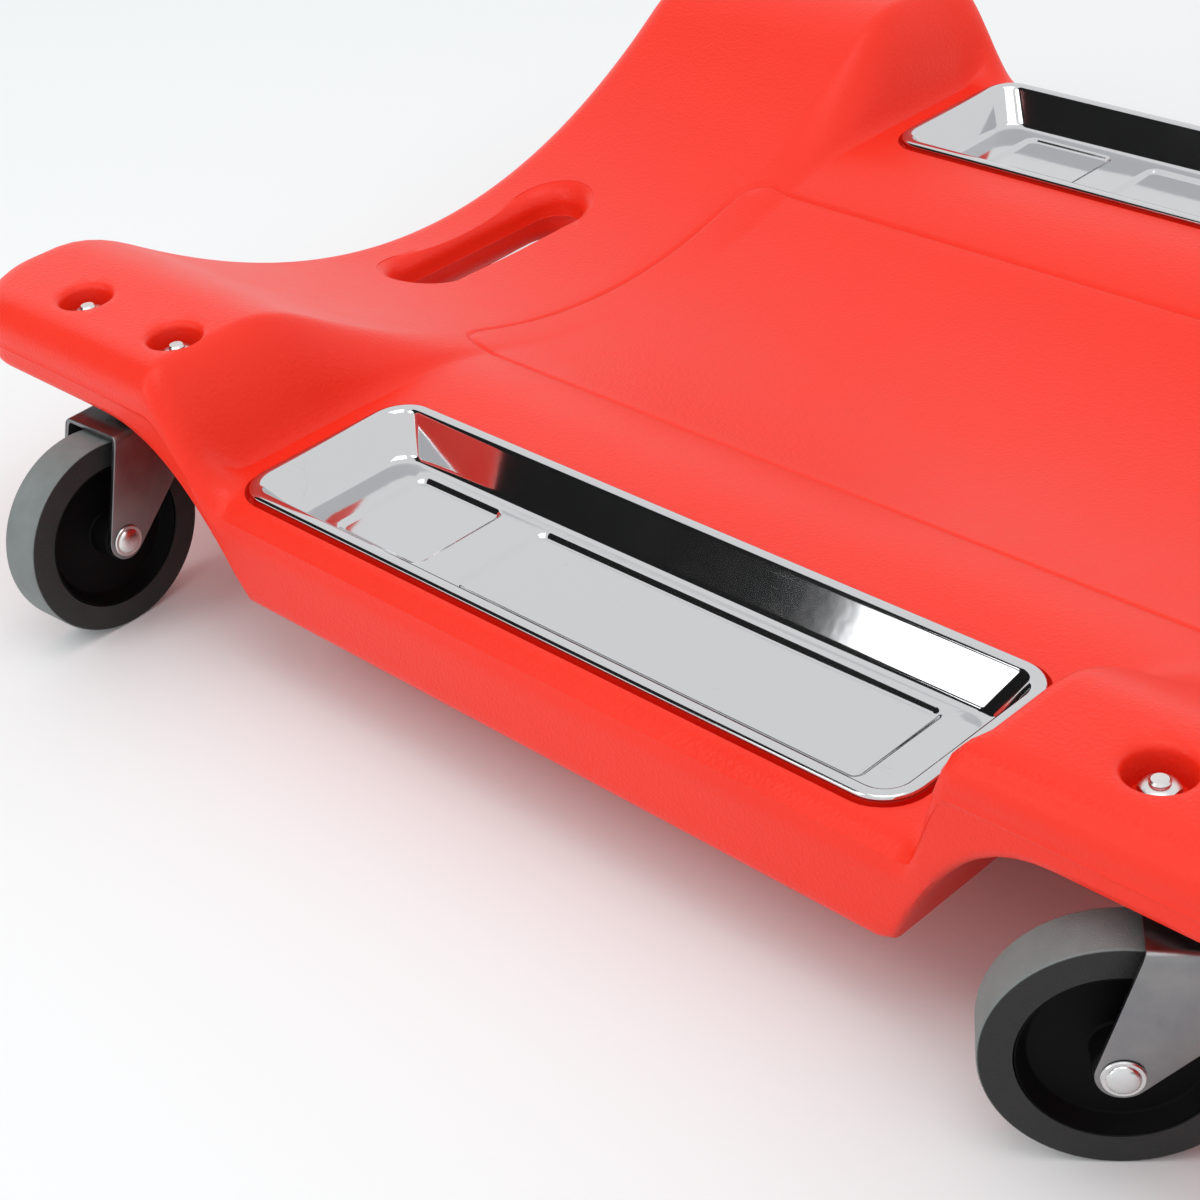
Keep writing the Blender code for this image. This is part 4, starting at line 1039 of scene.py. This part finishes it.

# Wheels: a hard grey rubber tyre with a flat tread, its flanks painted near-black as painted shade, moulded
# on a black plastic hub.
# The hub is a deep dish on each side with a boss that runs on the axle.
TYRE_THICKNESS = 0.0095
TYRE_WIDTH = 0.017
TYRE_EDGE = 0.0009
TYRE_EDGE_STEPS = 4
TYRE_SIDES = 96
HUB_WEB = 0.006
HUB_RIM = 0.003
HUB_BOSS_RADIUS = 0.008
HUB_FILLET = 0.001
HUB_FILLET_STEPS = 3
HUB_DISH_DEGREES = -30
HUB_SIDES = 72
RUBBER_PATCHES = 70
# Painted shade: the flanks are painted near-black against the grey tread, standing in for the shade under
# the deck.
RUBBER_TREAD = ((0.17, 0.19, 0.187), (0.215, 0.235, 0.232))
RUBBER_FLANK_SHADE = ((0.019, 0.019, 0.019), (0.027, 0.027, 0.027))
RUBBER_ROUGHNESS = (0.50, 0.62)
RUBBER_SPECULAR = 0.3
RUBBER_GRAIN = {"scale": 1600, "depth": 0.0003, "strength": 0.3}
BLACK_PLASTIC = {
    "patches": 40,
    "colours": ((0.0015, 0.0015, 0.0018), (0.003, 0.003, 0.0033)),
    "roughness": (0.46, 0.58),
    "plain": {"Specular IOR Level": 0.08},
}

tyre_half = TYRE_WIDTH / 2
tyre_inner = wheel_radius - TYRE_THICKNESS
tyre_profile = [(tyre_inner, tyre_half)]
tyre_profile += arc(wheel_radius - TYRE_EDGE, tyre_half - TYRE_EDGE, TYRE_EDGE, 90, 0, TYRE_EDGE_STEPS)
tyre_bm = turned(mirrored(tyre_profile), TYRE_SIDES)
hub_radius = tyre_inner - FIT_GAP
hub_boss = FORK_WIDTH / 2 - FORK_SHEET - FIT_GAP
fillet_low = HUB_WEB / 2 + HUB_FILLET
hub_half = [(AXLE_RADIUS + FIT_GAP, hub_boss)]
for centre, height, first, last in (
    (HUB_BOSS_RADIUS - HUB_FILLET, hub_boss - HUB_FILLET, 90, 0),
    (HUB_BOSS_RADIUS + HUB_FILLET, fillet_low, 180, 270),
    (hub_radius - HUB_RIM - HUB_FILLET, fillet_low, -90, HUB_DISH_DEGREES),
):
    hub_half += arc(centre, height, HUB_FILLET, first, last, HUB_FILLET_STEPS)
hub_half += [(hub_radius - HUB_FILLET / 2, tyre_half - HUB_FILLET / 4)]
hub_half += [(hub_radius, tyre_half - HUB_FILLET / 2)]
hub_bm = turned(mirrored(hub_half), HUB_SIDES)
rubber, tree, shader = new_material("grey_rubber")
tone = apply_effect(tree, uneven_tone, RUBBER_PATCHES)
# The tread keeps the grey rubber; the flanks take the painted shade.
outside = {
    "Factor": add_node(tree, "Attribute", attribute_name="tread").outputs["Fac"],
    6: blended(tree, tone, *RUBBER_FLANK_SHADE),
    7: blended(tree, tone, *RUBBER_TREAD),
}
tree.links.new(add_node(tree, "Mix", outside, data_type="RGBA").outputs[2], shader.inputs["Base Color"])
tree.links.new(between(tree, tone, *RUBBER_ROUGHNESS), shader.inputs["Roughness"])
shader.inputs["Specular IOR Level"].default_value = RUBBER_SPECULAR
dented(tree, shader, pebble_grain, **RUBBER_GRAIN)
black_plastic = uneven_finish("black_plastic", **BLACK_PLASTIC)[0]
for name in swivels:
    wheel_place = caster_axes(name)[1]
    tyre_mesh = smooth_mesh(tyre_bm.copy(), "wheel_tyre")
    tread = tyre_mesh.attributes.new("tread", "FLOAT", "POINT")
    for vert in tyre_mesh.vertices:
        tread.data[vert.index].value = vert.co.xy.length > wheel_radius - FIT_GAP
    tyre_mesh.transform(wheel_place)
    piece("wheel_tyre_" + name, tyre_mesh, rubber, "wheel_" + name, "grey_rubber", "tyre_" + name)
    piece("wheel_hub_" + name, placed(hub_bm, "wheel_hub", wheel_place), black_plastic,
          "wheel_" + name, "black_plastic", "hub_" + name)

# Tool trays: pressed from thin polished stainless sheet, with a rolled rim that rests on the deck's rail.
# The floor has a short and a long panel pressed down, with a raised rib left between them.
# The rim and the foot of the wall are given as insets, with the drop from the rim or rise from the floor.
TRAY_SHEET = 0.0008
TRAY_DEPTH = 0.015
TRAY_RIM = ((0, 0.001), (0.0003, 0.0004), (0.001, 0.00005), (0.002, 0))
TRAY_RIM_INSIDE = ((0.0036, 0.0001), (0.0046, 0.0005), (0.0052, 0.0014))
TRAY_FOOT = ((0.0122, 0.0018), (0.0129, 0.0009), (0.0139, 0.0003), (0.0155, 0))
TRAY_CORNER_STEPS = 10
TRAY_FLOOR_CORNER = 0.0095
TRAY_PANEL_DEPTH = 0.0015
TRAY_PANEL_END_MARGIN = 0.0137
TRAY_PANEL_SIDE_MARGIN = 0.0027
TRAY_PANEL_CORNER = 0.005
TRAY_PANEL_CORNER_STEPS = 8
TRAY_PANEL_SLOPE = 0.003
TRAY_SMALL_PANEL = 0.0455
TRAY_RIB = 0.0178
PRESS_STEPS = 5
SWIRL_SCALE = 18
SWIRL_DETAIL = 1
SWIRL_REACH = 0.01
SCRATCH_TURN = 0.35
SCRATCH_STRETCH = (0.25, 3, 1)
SCRATCH_WIDTH = 0.008
SCRATCH_SCALE = 90
SCRATCH_ROUGHNESS = 0.12
BARE_PATCH_SCALE = 45
BARE_PATCH_DETAIL = 2
BARE_PATCH_START = 0.60
BARE_PATCH_STOP = 0.70
STEEL = ((0.60, 0.605, 0.62), (0.50, 0.50, 0.51))
STEEL_PATCHES = 20
STEEL_ROUGHNESS = (0.05, 0.09)
STEEL_WAVES = {"scale": STEEL_PATCHES, "depth": 0.0004, "strength": 0.08}

rim_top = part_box("tray_left")[1].z - rail_top
tray_floor = rim_top - TRAY_DEPTH
tray_bm = bmesh.new()
wall_rings = [tray_ring(0, FIT_GAP)]
wall_rings += [tray_ring(inset, rim_top - drop) for inset, drop in TRAY_RIM + TRAY_RIM_INSIDE]
wall_rings += [tray_ring(inset, tray_floor + rise, TRAY_FLOOR_CORNER) for inset, rise in TRAY_FOOT]
fill_edges = list(ring_stack(tray_bm, wall_rings, TRAY_CORNER_STEPS)[-1])
floor_length, floor_width = wall_rings[-1][:2]
panel_width = floor_width - 2 * TRAY_PANEL_SIDE_MARGIN
panel_start = TRAY_PANEL_END_MARGIN - floor_length / 2
long_start = panel_start + TRAY_SMALL_PANEL + TRAY_RIB
long_panel = floor_length - 2 * TRAY_PANEL_END_MARGIN - TRAY_SMALL_PANEL - TRAY_RIB
for start, length in ((panel_start, TRAY_SMALL_PANEL), (long_start, long_panel)):
    rings = []
    for step in range(PRESS_STEPS + 1):
        inset = TRAY_PANEL_SLOPE * step / PRESS_STEPS
        sunk = tray_floor - TRAY_PANEL_DEPTH * ease(step / PRESS_STEPS)
        rings.append((length - 2 * inset, panel_width - 2 * inset, TRAY_PANEL_CORNER - inset, sunk))
    before = set(tray_bm.verts)
    panel_loops = ring_stack(tray_bm, rings, TRAY_PANEL_CORNER_STEPS)
    fill_edges += panel_loops[0]
    bmesh.ops.contextual_create(tray_bm, geom=panel_loops[-1])
    bmesh.ops.translate(tray_bm, vec=(start + length / 2, 0, 0), verts=list(set(tray_bm.verts) - before))
bmesh.ops.triangle_fill(tray_bm, use_beauty=True, edges=fill_edges)
bmesh.ops.recalc_face_normals(tray_bm, faces=tray_bm.faces[:])

fine_scratches, group_in, group_out = effect("fine_scratches", "Mask")
coords = add_node(fine_scratches, "TexCoord").outputs["Object"]
inputs = {"Vector": coords, "Scale": SWIRL_SCALE, "Detail": SWIRL_DETAIL}
swirl = add_node(fine_scratches, "TexNoise", inputs).outputs["Color"]
bent = add_node(fine_scratches, "VectorMath", {0: swirl, 3: SWIRL_REACH}, operation="SCALE")
drift = add_node(fine_scratches, "VectorMath", {0: coords, 1: bent.outputs[0]}, operation="ADD")
inputs = {"Vector": drift.outputs[0], "Rotation": (0, 0, SCRATCH_TURN), "Scale": SCRATCH_STRETCH}
long_way = add_node(fine_scratches, "Mapping", inputs)
inputs = {"Vector": long_way.outputs[0], "Scale": group_in.outputs[0]}
lines = add_node(fine_scratches, "TexVoronoi", inputs, feature="DISTANCE_TO_EDGE")
inputs = {0: lines.outputs["Distance"], 1: 0, 2: SCRATCH_WIDTH, 3: 1, 4: 0}
thin = add_node(fine_scratches, "MapRange", inputs)
inputs = {"Vector": coords, "Scale": BARE_PATCH_SCALE, "Detail": BARE_PATCH_DETAIL}
patch = add_node(fine_scratches, "TexNoise", inputs)
some = add_node(fine_scratches, "MapRange", {0: patch.outputs[0], 1: BARE_PATCH_START, 2: BARE_PATCH_STOP})
scratched = add_node(fine_scratches, "Math", {0: thin.outputs[0], 1: some.outputs[0]}, operation="MULTIPLY")
fine_scratches.links.new(scratched.outputs[0], group_out.inputs[0])

stainless, tree, shader = new_material("polished_stainless")
tone = apply_effect(tree, uneven_tone, STEEL_PATCHES)
worn = apply_effect(tree, fine_scratches, SCRATCH_SCALE)
tree.links.new(blended(tree, worn, *STEEL), shader.inputs["Base Color"])
cloudy = between(tree, tone, *STEEL_ROUGHNESS)
scuffed = add_node(tree, "Math", {0: worn, 1: SCRATCH_ROUGHNESS, 2: cloudy}, operation="MULTIPLY_ADD")
tree.links.new(scuffed.outputs[0], shader.inputs["Roughness"])
shader.inputs["Metallic"].default_value = 1
dented(tree, shader, uneven_tone, **STEEL_WAVES)
for name, place in tray_places.items():
    tray_mesh = plain_mesh(tray_bm.copy(), "tool_" + name)
    tray_mesh.transform(Matrix.Translation(place))
    tray_mesh.shade_smooth()
    tray = piece("tool_" + name, tray_mesh, stainless, name + "_body", "stainless", name)
    thicken(tray, TRAY_SHEET)
    flats = tray.modifiers.new("flats", "WEIGHTED_NORMAL")
    flats.keep_sharp = True

# Headrest: a foam pad in black vinyl on a thin black board, screwed up through the deck's platform.
# The vinyl is drawn over the board's edge, so the pad swells between its corners and is flat below.
BOARD_CORNER = 0.023
BOARD_CORNER_STEPS = 10
BOARD_EDGE = 0.0012
SCREW_HEAD_HEIGHT = 0.003
PAD_CORNER = 0.036
PAD_CROWN = 0.008
PAD_CROWN_POWER = 4
PAD_WAIST = 0.004
PAD_SHRINK = 0.004
PAD_CUTS = 7
PAD_VOXEL = 0.0045
PAD_PRESSURE = 4
PAD_FRAMES = 20
PAD_MOST_MOVE = 0.0025
VINYL = {
    "patches": 25,
    "colours": ((0.012, 0.012, 0.013), (0.019, 0.019, 0.020)),
    "roughness": (0.40, 0.50),
    "plain": {},
}
VINYL_GRAIN = {"scale": 900, "depth": 0.0003, "strength": 0.3}

board_bm = rounded_plate(board_low, board_high, BOARD_CORNER, BOARD_EDGE, BOARD_CORNER_STEPS)
piece("headrest_base", placed(board_bm, "headrest_base", Matrix.Translation((pad_x, 0, 0))), black_plastic,
      "deck_body", "black_plastic", "headrest_board")
for name in ("headrest_screw_left", "headrest_screw_right"):
    screw_low, screw_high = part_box(name)
    screw_head = (screw_high.y - screw_low.y) / 2
    screw_seat = screw_low.z + SCREW_HEAD_HEIGHT
    screw_profile = [(0, screw_high.z), (SCREW_RADIUS, screw_high.z - SCREW_RADIUS)]
    screw_profile += [(SCREW_RADIUS, screw_seat)]
    screw_profile += domed(screw_head, screw_seat, screw_low.z - screw_seat)[::-1]
    spot = Matrix.Translation((pad_x, (screw_low.y + screw_high.y) / 2, 0))
    screw_mesh = placed(turned(screw_profile, SCREW_SIDES), "pad_screw", spot)
    piece("pad_screw" + name[len("headrest_screw"):], screw_mesh, zinc, "deck_body", "zinc", name)


def soften(obj):
    """Round a mesh off by one level of subdivision."""
    softening = obj.modifiers.new("softening", "SUBSURF")
    softening.levels = 1
    softening.render_levels = 1


pad_low, pad_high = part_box("headrest_pad")
pad_depth = pad_high.x - pad_low.x - 2 * PAD_SHRINK
pad_width = pad_high.y - pad_low.y - 2 * PAD_SHRINK
pad_height = pad_high.z - pad_low.z - PAD_SHRINK
pad_bm = bmesh.new()
bmesh.ops.create_cube(pad_bm, size=2)
bmesh.ops.subdivide_edges(pad_bm, edges=pad_bm.edges[:], cuts=PAD_CUTS, use_grid_fill=True)
for vert in pad_bm.verts:
    u, v, w = vert.co
    corner = PAD_CORNER * (1 - math.sqrt(0.5)) * (u * v) ** 2
    waist = PAD_WAIST * (1 - w) / 2
    crown = pad_height - PAD_CROWN * (1 - (1 - u ** PAD_CROWN_POWER) * (1 - v ** PAD_CROWN_POWER))
    vert.co = (pad_x + u * (pad_depth / 2 - corner - waist), v * (pad_width / 2 - corner - waist),
               pad_low.z + crown * (w + 1) / 2)
pad_cage = add_object("pad_cage", smooth_mesh(pad_bm, "pad_cage"))
soften(pad_cage)
remesh = pad_cage.modifiers.new("remesh", "REMESH")
remesh.mode = "VOXEL"
remesh.voxel_size = PAD_VOXEL
pad_mesh = finished_mesh(pad_cage)
pad_start = [vert.co.copy() for vert in pad_mesh.vertices]
swelling = add_object("swelling", pad_mesh)
cloth = swelling.modifiers.new("cloth", "CLOTH")
cloth.settings.use_pressure = True
cloth.settings.uniform_pressure_force = PAD_PRESSURE
cloth.settings.effector_weights.gravity = 0
cloth.point_cache.frame_start = 1
cloth.point_cache.frame_end = PAD_FRAMES
for number in range(1, PAD_FRAMES + 1):
    scene.frame_set(number)
pad_mesh = finished_mesh(swelling)
scene.frame_set(1)
for vert, start in zip(pad_mesh.vertices, pad_start):
    step = vert.co - start
    if step.length > PAD_MOST_MOVE:
        vert.co = start + step.normalized() * PAD_MOST_MOVE
    vert.co.z = max(vert.co.z, pad_low.z)
pad_mesh.shade_smooth()
vinyl, tree, shader = uneven_finish("black_vinyl", **VINYL)
dented(tree, shader, pebble_grain, **VINYL_GRAIN)
pad = piece("headrest_cushion", pad_mesh, vinyl, "deck_body", "black_vinyl", "headrest_pad")
soften(pad)
